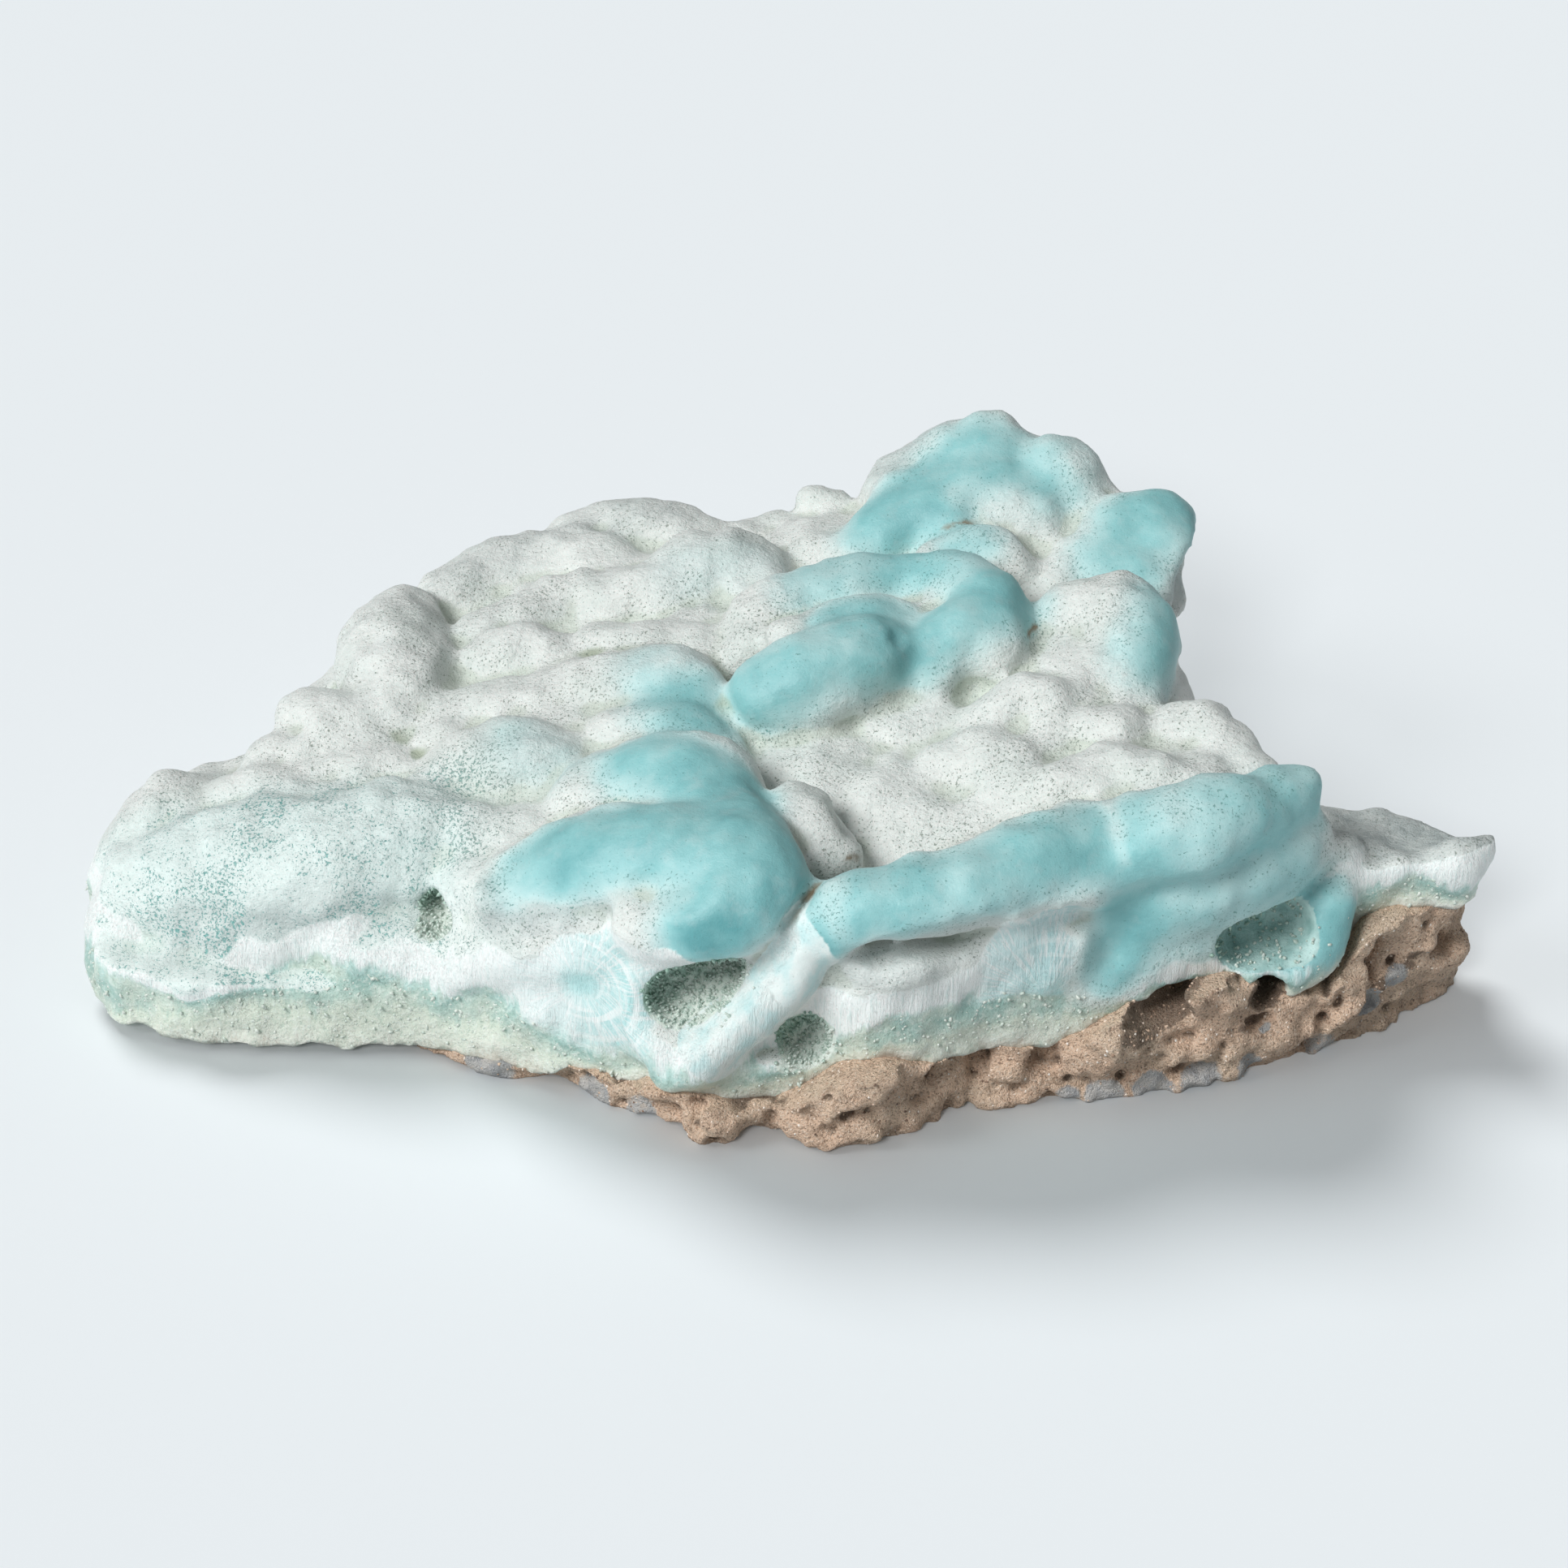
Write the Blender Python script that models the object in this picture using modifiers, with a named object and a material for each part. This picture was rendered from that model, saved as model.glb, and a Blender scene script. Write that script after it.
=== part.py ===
"""Blue aragonite on its host rock.

A loose hand specimen: a crust of rounded blue-white aragonite, broken along
its front, that still sits on a slab of brown sandy rock. The object rests on
the slab's underside. +Z is up, +X runs to the right along the broken front
and the front faces -Y. The origin is on the flat part of the underside, near
the middle of the object.
"""

import math

import bmesh
import bpy
from mathutils import Matrix, Vector, noise

MM = 0.001

CONTACT_GAP = 0.3 * MM
GROWTH_VOXEL = 0.9 * MM
ROCK_VOXEL = 1.0 * MM
HOLLOW_VOXEL = 0.7 * MM
CRUST_FACES_KEPT = 0.049
ROCK_FACES_KEPT = 0.043
HOLLOW_FACES_KEPT = 0.12
BALL_RINGS = 10
BALL_SEGMENTS = 20
BALL_STEP = 0.45

# Each ridge of the crust is a crest line of points (x, y, height of the top,
# radius) in millimetres, with how tall its balls are as a share of their
# radius.
RIDGES = {
    "west_tip": (
        0.9,
        [(-69, -6, 14.5, 5.5), (-66.5, -3.5, 17.5, 6), (-64.5, -1.8, 18.8, 6), (-61, -2.5, 18.6, 5)],
    ),
    "west_foot": (1.0, [(-68.5, -13, 8, 5.5), (-69, -11, 11.5, 5.5), (-68, -8, 14, 6)]),
    "front_roll": (
        0.9,
        [
            (-65, -9, 17.5, 7), (-57, -10.8, 21.2, 8), (-48.5, -12, 22.8, 8.5), (-41.5, -11.5, 24.7, 8),
            (-37, -11, 24.3, 6),
        ],
    ),
    "roll_end": (0.9, [(-37, -11.5, 24.2, 6), (-32.5, -12.5, 23.6, 5), (-29, -14.5, 22, 4.5)]),
    "west_knob_a": (0.8, [(-58, -2.5, 20.6, 3.6), (-55, -2.3, 21.6, 3.8), (-52.5, -4, 21, 3.5)]),
    "west_knob_b": (0.8, [(-50.5, -5.3, 21.5, 3.4), (-46.5, -6.5, 22.4, 3.6)]),
    "west_knob_c": (0.8, [(-48.8, -2, 22, 3.8), (-44.5, -1, 23.2, 4.2), (-41.5, -2.5, 22.5, 3.6)]),
    "west_knob_d": (0.8, [(-54.8, 2.4, 21.5, 4), (-50.5, 2.4, 22.6, 4)]),
    "west_knob_e": (0.85, [(-50, 8, 23.8, 5), (-46.8, 5.5, 24.9, 5.2), (-45, 2.6, 23.7, 4.5)]),
    "west_shoulder": (
        0.9,
        [(-42.5, 24.5, 26.6, 5.5), (-42.3, 18, 27.8, 6.6), (-41.3, 12, 27.4, 6.4), (-42.5, 7, 25.2, 5)],
    ),
    "grey_hump": (
        0.85,
        [
            (-36, -5, 23.4, 4.2), (-32.8, -3.6, 25.2, 5.2), (-29.5, -3.2, 26.9, 6), (-24.8, -4.4, 26.8, 6),
            (-21.3, -5.6, 25.4, 4.8),
        ],
    ),
    "mid_knob_a": (0.85, [(-32, 15, 26, 3.8), (-29, 16.3, 27.6, 4.4), (-25.5, 14.8, 27.4, 4)]),
    "mid_knob_b": (
        0.85,
        [(-33, 21, 26, 3.8), (-29, 22.8, 27, 4.2), (-24, 26.3, 27.6, 4.4), (-20.5, 26, 27.8, 4.4)],
    ),
    "long_ridge": (
        0.85,
        [
            (-37, 6.5, 24.3, 4.2), (-32.5, 7, 25.6, 4.8), (-27, 7, 26.8, 5), (-23, 8, 27.4, 5.3),
            (-18, 7.5, 28.9, 6), (-13.5, 6, 30.4, 6.4), (-11, 4, 30.2, 5.8), (-10, 1.5, 28.6, 4.8),
        ],
    ),
    "long_ridge_foot": (0.8, [(-35, 2.5, 23.8, 4.5), (-28, 2.5, 25, 5.5), (-20, 2, 26, 6)]),
    "teal_step": (0.85, [(-16, -1.3, 28.2, 5), (-11.5, -3, 29.3, 5.6), (-8.5, -4.8, 28, 4.8)]),
    "teal_dome": (
        0.9,
        [
            (-19.8, -10.8, 26.6, 5.4), (-15.5, -11.2, 29.4, 6.6), (-11, -13, 31.2, 7.5),
            (-8.5, -16.5, 31, 7.2), (-7, -19.5, 30, 6.2),
        ],
    ),
    "front_teal": (
        0.9,
        [
            (-28, -22.3, 22.3, 4.4), (-25, -22.8, 24.7, 5.4), (-21.5, -23, 27, 6.6), (-17, -24, 29.3, 7.4),
            (-11.5, -25.8, 31.2, 7.6), (-7, -28, 31.4, 7),
        ],
    ),
    "front_teal_foot": (
        0.9,
        [(-30, -22.5, 17, 4.5), (-25, -24.6, 20, 5.5), (-19, -26.6, 22.8, 6), (-14, -28.4, 24.5, 5.6)],
    ),
    "nose": (
        0.9,
        [
            (-4.5, -28, 32, 6.5), (-3.2, -30.6, 31.2, 6.4), (-5.5, -33, 29.6, 5.4),
            (-9.5, -33.6, 27.8, 4.6), (-13.5, -32.4, 25.8, 4),
        ],
    ),
    "arm": (
        1.0,
        [
            (4.5, -33.4, 26.8, 3.8), (3, -33.6, 25.9, 3.5), (1.6, -33.6, 24.9, 3.3), (0.7, -34.2, 22, 3.2),
            (-1.2, -35, 19.2, 3.1), (-4.2, -35.7, 16.3, 3.1), (-7.6, -35.9, 12.9, 3.2),
            (-10.6, -35.5, 11.2, 3.5),
        ],
    ),
    "pocket_rim": (
        1.0,
        [
            (-10.6, -35.6, 11.2, 3.4), (-13.4, -34.6, 13.4, 2.6), (-14.9, -33.8, 16.5, 2.4),
            (-14.2, -33.4, 19.8, 2.4), (-11.5, -33.6, 22.2, 2.4),
        ],
    ),
    "front_ridge": (
        0.9,
        [
            (4.5, -33.3, 27.4, 4), (9, -33.7, 29.1, 4.3), (15, -33, 29.9, 4.6), (19, -31.7, 30.4, 4.8),
            (23, -29.7, 30.9, 5), (27, -27.3, 31.3, 5.4), (31, -25.5, 31.2, 5.7),
        ],
    ),
    "front_ridge_east": (
        0.9,
        [
            (33.5, -25, 31.6, 5.4), (36.5, -25.4, 32.9, 5.3), (40.5, -25.4, 33.4, 5.1),
            (44, -23.9, 33.8, 4.7), (47.5, -21.8, 32.8, 4.1), (50.6, -19.4, 32.6, 3.3),
            (52.6, -18.4, 32, 2.4),
        ],
    ),
    "east_flange": (
        1.0,
        [
            (51.6, -19, 31.4, 2.6), (52.6, -18.4, 29, 2.2), (53.6, -17.8, 26.4, 2.2), (55, -17, 23.8, 2.4),
            (57.5, -15.8, 21.4, 3),
        ],
    ),
    "east_valley_ridge": (
        0.85,
        [
            (27.5, -13.5, 27.8, 3.6), (31, -12.5, 29.5, 4), (35.5, -12.5, 30.1, 4.2),
            (39.5, -13.8, 29.7, 4), (43, -14, 29.2, 4),
        ],
    ),
    "small_east_knob": (0.85, [(31.5, -4.2, 29.8, 3.4), (35, -4.8, 30, 3.6)]),
    "east_knob": (
        0.85,
        [(41, -4.5, 29.3, 3.8), (43.8, -4, 30.2, 4), (46, -7.2, 29.2, 3.8), (47.8, -10.5, 28.6, 3.4)],
    ),
    "east_lobe": (
        0.9,
        [
            (29, 13.3, 31.6, 4.4), (32, 14.6, 33.7, 5), (35.3, 14.3, 35, 5.5), (37, 11.5, 35, 5.6),
            (36.4, 7, 33.2, 5.4), (35.8, 2.5, 31.2, 4.8),
        ],
    ),
    "east_lobe_fold": (0.85, [(29.5, 9.5, 31, 4), (30.5, 5.5, 31.2, 4), (32, 1, 30.2, 4)]),
    "saddle_ridge": (
        0.85,
        [(22.5, -1.3, 29.4, 3.8), (25.6, 0.2, 31.1, 4), (27.6, -1.5, 30.6, 3.8), (28, -5, 29.2, 3.6)],
    ),
    "saddle_front": (
        0.85,
        [(18.5, -7, 27.2, 5), (22.3, -7.5, 28.9, 5.6), (24.3, -11.5, 27.4, 5.4), (21.5, -13.5, 25.4, 5)],
    ),
    "sausage": (
        0.95,
        [
            (-0.8, 1.6, 32.4, 5), (2, 2.4, 34.3, 5.7), (5.2, 3.6, 35, 5.9), (8.2, 5, 35, 5.7),
            (10.3, 6, 33.8, 4.8),
        ],
    ),
    "behind_sausage": (
        0.9,
        [(1.5, 9.3, 33.2, 3.2), (6.5, 10.8, 34, 3.4), (10, 12, 34, 3.4), (11.6, 11, 33, 3)],
    ),
    "heart_west": (
        0.9,
        [
            (-3.7, 12.5, 30.4, 4.2), (-1.7, 16.2, 31.9, 4.8), (3, 18.8, 33, 5), (7.5, 20.2, 33.6, 5),
            (11, 20.6, 33.4, 4.4),
        ],
    ),
    "heart_rim": (
        0.95,
        [
            (14, 20.6, 33.7, 4.3), (17.3, 20, 34.7, 4.8), (20.3, 17, 35.3, 5), (21.6, 13, 35.2, 5),
            (21.6, 9, 33.8, 4.8),
        ],
    ),
    "heart_east": (
        0.95,
        [(15, 6, 32, 4.4), (17, 8.3, 33.8, 4.8), (19.5, 9.6, 34.8, 5), (21.5, 9, 34.2, 4.8)],
    ),
    "back_lobe": (
        0.9,
        [
            (-19.5, 25.6, 28, 5), (-15, 25.8, 29.4, 5.6), (-10, 27.5, 30.9, 6), (-5.7, 28.7, 31.4, 6),
            (-3.2, 27, 30.8, 5.2), (-2.8, 23.5, 30, 4.6),
        ],
    ),
    "back_lobe_step": (0.85, [(-19.5, 15.5, 28, 4.4), (-14, 15, 29, 5), (-9.5, 13.5, 29.4, 4.8)]),
    "back_rim": (
        0.9,
        [
            (-24, 41, 26.6, 4.6), (-20, 43, 27.9, 5), (-15.5, 42.3, 28.8, 5.2), (-11, 40.3, 28, 4.8),
            (-6, 40.3, 26.6, 4.2), (-1, 42.5, 26.6, 4.2),
        ],
    ),
    "back_rim_west": (
        0.9,
        [
            (-36.8, 32, 25.4, 4.8), (-30, 37, 26.8, 5.2), (-23.5, 36.8, 27.8, 5.4), (-19, 33.5, 27.6, 5),
            (-15.2, 31.6, 27, 4.2),
        ],
    ),
    "back_spike": (1.0, [(3.6, 45, 29, 2), (6, 44.6, 28.6, 2.6)]),
    "mound": (
        0.9,
        [
            (13.8, 42.5, 33.2, 5.5), (17.6, 44.4, 35.4, 6.4), (22.4, 43.8, 37.9, 6.8),
            (26.6, 41.3, 36.1, 5.8), (30.4, 40.2, 37.3, 5.2), (33.2, 36.6, 35, 5),
        ],
    ),
    "mound_face": (0.9, [(16, 38.5, 34.8, 6.6), (21.5, 38, 36.2, 7), (27, 35.5, 35.3, 6.6)]),
    "mound_foot": (
        0.9,
        [(9, 31.8, 31.4, 4.4), (12, 34, 33.7, 4.8), (15.3, 35, 34.8, 5), (18.3, 33.3, 34.4, 4.4)],
    ),
    "little_knob": (0.9, [(17.5, 26.2, 32.4, 3.6), (21, 27, 33.5, 4), (24.2, 25.6, 32.8, 3.8)]),
    "far_east_lobe": (
        0.95,
        [
            (31, 25, 30.5, 5.5), (35, 28.5, 32.8, 6), (38.4, 32, 35, 6), (41.2, 32.3, 35.5, 5),
            (42, 29.4, 34.4, 4.8),
        ],
    ),
    "far_east_face": (0.95, [(35, 23.5, 30.8, 5), (39, 25.5, 32.3, 5.2), (41.6, 27, 32.4, 4.4)]),
    "dome_link": (0.9, [(-7.5, -18, 30.3, 6), (-5.6, -22, 30.6, 5.6), (-4.6, -26, 31.5, 6)]),
    "teal_slope": (
        1.0,
        [(37, -23.2, 26, 5.6), (41, -22.8, 27.4, 6), (45.5, -21.6, 28, 6), (50, -19, 28, 5.4)],
    ),
    "pocket_foot": (
        1.0,
        [(47, -24.6, 13, 3.2), (51, -23.6, 13.4, 3.2), (54.4, -21.6, 15.4, 3.2), (56.4, -19.6, 19, 3)],
    ),
    "notch_wall": (
        1.0,
        [(-44, -18.5, 14.5, 4.6), (-39, -19, 13.8, 4.4), (-35, -20.5, 13, 4.2), (-31, -23, 15.5, 4.4)],
    ),
    "ledge_tip": (0.8, [(68, -15.6, 20.6, 2), (71, -15.4, 21.4, 2), (72.6, -14.6, 20.6, 1.6)]),
    "valley_hill": (
        0.85,
        [(-2, -19.5, 27.4, 4), (0.5, -18.7, 28.6, 4.4), (3, -20, 27.9, 4.2), (4, -22.3, 26.4, 3.8)],
    ),
}

# Broad swells under the ridges: (x, y, height of the top, radius, height as
# a share of the radius).
SWELLS = [
    (-53, -3, 19, 18, 0.5), (-40, 2, 21.5, 16, 0.5), (-34, 16, 23, 20, 0.45), (-22, 24, 25.5, 21, 0.5),
    (-10, 30, 27, 16, 0.5), (-25, -13, 23.5, 13, 0.7), (-12, -18, 27.5, 14, 0.8), (-16, 4, 26.5, 13, 0.7),
    (8, 34, 29.5, 15, 0.7), (22, 36, 32, 14, 0.8), (4, 14, 31, 10, 0.8), (16, 14, 32, 9.5, 0.8),
    (4, -5, 25.8, 11, 0.6), (13, 3, 28.5, 8, 0.7), (12, -7, 25.6, 11, 0.6), (15, -13, 24, 9, 0.6),
    (8, -17, 21.5, 9, 0.6), (26, 12, 30, 11, 0.7), (32, 22, 29, 11, 0.7), (33, 8, 30.5, 11, 0.7),
    (24, -2, 28, 11, 0.6), (36, -5, 28.3, 11, 0.6), (42, -13, 28.6, 9, 0.7), (20, -15, 23.8, 10, 0.6),
    (22, -25, 26.5, 8, 0.9), (36, -20, 29, 9, 0.9), (-8, 16, 28.5, 9, 0.6),
]

# The crust's edge seen from above, counterclockwise from its west end.
CRUST_OUTLINE = [
    (-72.5, -17), (-70, -20.5), (-62, -23), (-54, -24), (-48, -24), (-42, -24), (-35, -25.6), (-29, -28.2),
    (-17, -33), (-10, -37), (1, -36.5), (5, -34.5), (12, -35), (20, -32), (35, -29), (44, -26), (50, -25),
    (58, -21.5), (66, -17), (60, -9), (54, -7), (51, -4), (47, 0), (41, 4), (40.5, 16), (43, 25),
    (44.5, 33), (37, 39), (31, 44), (23, 48.5), (14, 47), (4, 45), (-6, 42.5), (-15, 45), (-23, 43.5),
    (-34, 36.5), (-42, 28), (-48, 17), (-56, 6), (-64, 1.5), (-70, -3),
]
CRUST_TOP = 8.0
# The broken front of the crust and its middle are thicker.
CORE_OUTLINE = [
    (-33, -22), (-26, -27.5), (-17, -31.5), (-10, -35), (-4, -34), (3, -34), (8, -36.5), (14, -36),
    (20, -33), (28, -31.5), (35, -29.5), (41, -27.5), (47, -25), (53, -21.5), (54, -10), (47, -2), (40, 5),
    (39.5, 17), (42, 26), (42.5, 32), (36, 38), (30, 42.5), (23, 46.5), (12, 45), (4, 43), (-6, 40.5),
    (-15, 43), (-23, 41.5), (-33, 34.5), (-40, 26), (-44, 14), (-40, -6),
]
CORE_TOP = 20.0
FAN_OUTLINE = [
    (-31, -26), (-24, -30.3), (-17, -33), (-13, -34.2), (-9, -34), (-9, -26), (-20, -22), (-30, -20),
]
FAN_TOP = 21.5
# The ledge at the east end, which is broken off square.
LEDGE_OUTLINE = [
    (50, -18.5), (56, -17.5), (61, -18.3), (66, -17.8), (71, -18.2), (73, -16), (72.8, -12.5), (68, -9),
    (62, -6.8), (55, -6.5), (50, -8),
]
LEDGE_TOP = 19.5

# Smooth hollows of the growth: lines of points (x, y, z of the middle, radius).
SOFT_HOLLOWS = {
    "notch": [
        (-36.6, -24.4, 20.2, 2.2), (-36, -21.4, 21.6, 2.7), (-35, -18, 23.9, 3.1), (-34, -14.5, 26.4, 3),
    ],
    "roll_foot": [(-66, -23.4, 15.5, 4.4), (-56, -23.6, 18, 4.8), (-47, -24, 19.5, 4.8)],
    "under_ridge": [(5, -41.6, 19.5, 4.8), (10, -41.8, 21.5, 5), (15, -40.8, 22, 5), (21, -38.4, 23, 4.6)],
    "under_far_lobe": [(45.8, 22.5, 26.8, 4), (46.8, 27, 28.2, 4), (47.4, 31, 29, 3.6)],
    "beside_arm": [(4.4, -41.5, 13.5, 4), (9, -42, 17, 4.4)],
    "beside_fan": [(33, -32.6, 15.2, 3.2), (33.6, -32, 18.6, 3.6), (34.4, -31.4, 21.6, 3.2)],
    "beside_flange": [(57.5, -23.5, 27, 4), (60.5, -23, 24.5, 3.6)],
    "basin_foot": [(6.8, -18.5, 26.5, 3), (8, -20.5, 26.5, 2.6)],
}

# Open pockets: lines of points (x, y, z of the middle, radius).
POCKETS = {
    "druse_pocket": [(-10.9, -38.9, 14.5, 2.9), (-8.9, -38.4, 16, 3.7), (-5.9, -37.8, 18.3, 3)],
    "druse_pocket_inside": [(-10.2, -35, 15.6, 3.6), (-6.6, -33.4, 18, 3.1)],
    "dark_pocket": [(1, -38.2, 8.4, 2.4), (1.6, -37.8, 10.4, 2.4), (2.2, -34.8, 9.8, 2.8)],
    "teal_pocket": [(45.4, -28.6, 15, 2.4), (49.4, -27.8, 15.6, 3.5), (52.6, -25.4, 15.4, 2.9)],
    "teal_pocket_inside": [(47, -24.4, 15.2, 3.2), (51.4, -22.4, 15.4, 2.9)],
    "notch_pocket": [(-37, -21.4, 15.6, 1.9), (-35.6, -20.4, 15, 2.3), (-35.4, -18.4, 15.2, 2)],
}
# Hollows of the rock.
ROCK_POCKETS = {
    "black_hole": [(49.4, -28.5, 9.3, 1.9), (49.6, -22, 9.4, 1.8), (50, -16, 10, 1.5)],
    "cave": [(37, -34, 9.2, 2.8), (38.4, -30.4, 10.6, 3), (40.5, -26, 11.2, 2.6)],
    "slit": [(44, -31, 6.2, 1.1), (47, -29.5, 6.6, 1.2), (50, -28, 6.6, 1)],
    "east_slit": [(62, -22, 6.5, 1.4), (66, -19.5, 8, 1.6)],
}

# Where the aragonite meets the rock along the broken front: (x, y, height)
# in millimetres, west to east.
FRONT_CONTACT = [
    (-75, -18, 1.2), (-60, -23, 1.2), (-48, -24, 1.2), (-36, -26, 1.2), (-30.5, -27.5, 1.6),
    (-25.5, -29, 1.5), (-22, -30.5, 3.2), (-17, -33, 3), (-13.5, -37, 4.6), (-8.5, -39.5, 4.5),
    (-5.5, -38.8, 3.8), (-0.5, -38.5, 3), (3.5, -40, 5.5), (7, -40, 8.3), (11, -40, 9.4), (15, -36.5, 7.6),
    (19.5, -33.5, 7.5), (22.5, -32.5, 7), (27, -32.5, 6.3), (31, -32.5, 7.6), (34, -32, 9.3),
    (38.5, -30, 11.2), (42, -29.5, 12), (46, -28, 12.3), (48, -27.5, 11), (52, -25.5, 8.3), (56, -24, 7.8),
    (58, -22.5, 10), (60, -20.5, 13.2), (64, -19, 14.5), (70, -15.5, 14.3), (75, -12, 14.5),
]
INNER_CONTACT = 8.0
CONTACT_BLEND = 14.0

# The rock's edge seen from above, counterclockwise from its west end.
ROCK_OUTLINE = [
    (-56, -10), (-50, -15), (-42, -19.5), (-37, -25), (-29, -29), (-22, -30.5), (-17, -33.5), (-12, -37),
    (-8, -40), (-3, -38.5), (1, -39.8), (6, -40.5), (9.5, -40.8), (13, -37.5), (18, -33.5), (22, -33.8),
    (27, -31.5), (32, -33), (38, -30.5), (45, -29), (51, -25.5), (57, -23.5), (62.5, -19.5), (67, -17.5),
    (71, -14), (71.5, -9), (66, -5), (55, 0), (46, 5), (42, 17), (43, 30), (34, 39), (22, 45), (8, 43),
    (-8, 39), (-26, 36), (-41, 24), (-50, 9), (-57, -3),
]
ROCK_TOP = 18.0
ROCK_BOTTOM = -0.4


def crest_points(points, spacing_share):
    """Points and radii along a smooth line through a ridge's crest."""
    found = []
    rows = [Vector(p) for p in points]
    ends = [2 * rows[0] - rows[1], *rows, 2 * rows[-1] - rows[-2]]
    for i in range(1, len(ends) - 2):
        before, start, end, after = ends[i - 1 : i + 3]
        steps = max(1, math.ceil((end - start).to_3d().length / (spacing_share * start.w)))
        for k in range(steps):
            t = k / steps
            found.append(
                0.5
                * (
                    2 * start
                    + (end - before) * t
                    + (2 * before - 5 * start + 4 * end - after) * t**2
                    + (3 * start - before - 3 * end + after) * t**3
                )
            )
    found.append(rows[-1])
    return found


def unit_ball():
    """A ball of radius 1, whose copies make up the ridges."""
    shape = bmesh.new()
    bmesh.ops.create_uvsphere(shape, u_segments=BALL_SEGMENTS, v_segments=BALL_RINGS, radius=1)
    ball = bpy.data.meshes.new("unit_ball")
    shape.to_mesh(ball)
    shape.free()
    return ball


def add_ball(shape, ball, x, y, z, radius, flat):
    place = Matrix.Translation((x * MM, y * MM, z * MM))
    size = Matrix.Diagonal((radius * MM, radius * MM, radius * flat * MM, 1))
    copy = ball.copy()
    copy.transform(place @ size)
    shape.from_mesh(copy)
    bpy.data.meshes.remove(copy)


def add_growth(shape):
    """The ridges and swells, as balls hung below the height of their tops."""
    ball = unit_ball()
    for flat, crest in RIDGES.values():
        for x, y, top, radius in crest_points(crest, BALL_STEP):
            add_ball(shape, ball, x, y, top - radius * flat, radius, flat)
    for x, y, top, radius, flat in SWELLS:
        add_ball(shape, ball, x, y, top - radius * flat, radius, flat)


def add_prism(shape, outline, bottom, top):
    """A straight-sided block over an outline given in millimetres."""
    corners = [shape.verts.new((x * MM, y * MM, bottom * MM)) for x, y in outline]
    floor = shape.faces.new(corners)
    raised = bmesh.ops.extrude_face_region(shape, geom=[floor])
    verts = [item for item in raised["geom"] if isinstance(item, bmesh.types.BMVert)]
    bmesh.ops.translate(shape, verts=verts, vec=(0, 0, (top - bottom) * MM))
    bmesh.ops.recalc_face_normals(shape, faces=shape.faces)


def new_object(name, shape, collection):
    mesh = bpy.data.meshes.new(name)
    shape.to_mesh(mesh)
    shape.free()
    made = bpy.data.objects.new(name, mesh)
    collection.objects.link(made)
    return made


def hide_cutter(cutter):
    cutter.hide_render = True
    cutter.display_type = "WIRE"


def hollow_cutter(name, lines, collection):
    """One cutter for a set of hollows, each a line of balls."""
    shape = bmesh.new()
    ball = unit_ball()
    for line in lines.values():
        for x, y, z, radius in crest_points(line, BALL_STEP):
            add_ball(shape, ball, x, y, z, radius, 1.0)
    made = new_object(name, shape, collection)
    hide_cutter(made)
    add_remesh(made, HOLLOW_VOXEL)
    add_smooth(made, 2)
    add_decimate(made, HOLLOW_FACES_KEPT)
    return made


def between(table, x, column):
    """The value of a column of a table at x, on straight lines between its rows."""
    for first, last in zip(table, table[1:]):
        if x <= last[0]:
            t = max(0.0, (x - first[0]) / (last[0] - first[0]))
            return first[column] + (last[column] - first[column]) * t
    return table[-1][column]


def contact_height(x, y):
    """Height of the contact between aragonite and rock, in millimetres."""
    behind = (y - between(FRONT_CONTACT, x, 1)) / CONTACT_BLEND
    t = min(1.0, max(0.0, behind))
    t = t * t * (3 - 2 * t)
    waves = 1.2 * noise.noise(Vector((x / 9, y / 9, 4.0)))
    inner = INNER_CONTACT + 2.0 * noise.noise(Vector((x / 22, y / 22, 9.0)))
    front = between(FRONT_CONTACT, x, 2)
    return max(1.0, front + (inner - front) * t + waves * min(1.0, front / 5))


def contact_cutter(name, shift, far_side, collection):
    """A block with the contact sheet, moved by shift, as one face and a flat face at far_side."""
    shape = bmesh.new()
    place = Matrix.Translation((0, 8 * MM, 0)) @ Matrix.Diagonal((82 * MM, 58 * MM, 1, 1))
    bmesh.ops.create_grid(shape, x_segments=44, y_segments=31, size=1, matrix=place)
    bmesh.ops.triangulate(shape, faces=shape.faces)
    for vert in shape.verts:
        vert.co.z = contact_height(vert.co.x / MM, vert.co.y / MM) * MM + shift
    raised = bmesh.ops.extrude_face_region(shape, geom=list(shape.faces))
    for item in raised["geom"]:
        if isinstance(item, bmesh.types.BMVert):
            item.co.z = far_side
    bmesh.ops.recalc_face_normals(shape, faces=shape.faces)
    made = new_object(name, shape, collection)
    hide_cutter(made)
    return made


def floor_cutter(collection):
    """A block below the surface that the object stands on."""
    shape = bmesh.new()
    bmesh.ops.create_cube(
        shape, size=1, matrix=Matrix.Translation((0, 0, -10 * MM)) @ Matrix.Diagonal((0.2, 0.2, 0.02, 1))
    )
    made = new_object("floor", shape, collection)
    hide_cutter(made)
    return made


def add_remesh(made, voxel):
    remesh = made.modifiers.new("one skin", "REMESH")
    remesh.mode = "VOXEL"
    remesh.voxel_size = voxel
    remesh.use_smooth_shade = True


def add_smooth(made, rounds):
    smooth = made.modifiers.new("soft joins", "SMOOTH")
    smooth.factor = 0.5
    smooth.iterations = rounds


def add_lumps(made, name, size, strength):
    """Uneven growth or breakage, as clouds of a given size in or out of the surface."""
    clouds = bpy.data.textures.new(name, "CLOUDS")
    clouds.noise_scale = size
    clouds.noise_depth = 2
    lumps = made.modifiers.new(name, "DISPLACE")
    lumps.texture = clouds
    lumps.texture_coords = "LOCAL"
    lumps.strength = strength
    lumps.mid_level = 0.5


def add_decimate(made, share):
    fewer = made.modifiers.new("fewer faces", "DECIMATE")
    fewer.ratio = share


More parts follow.
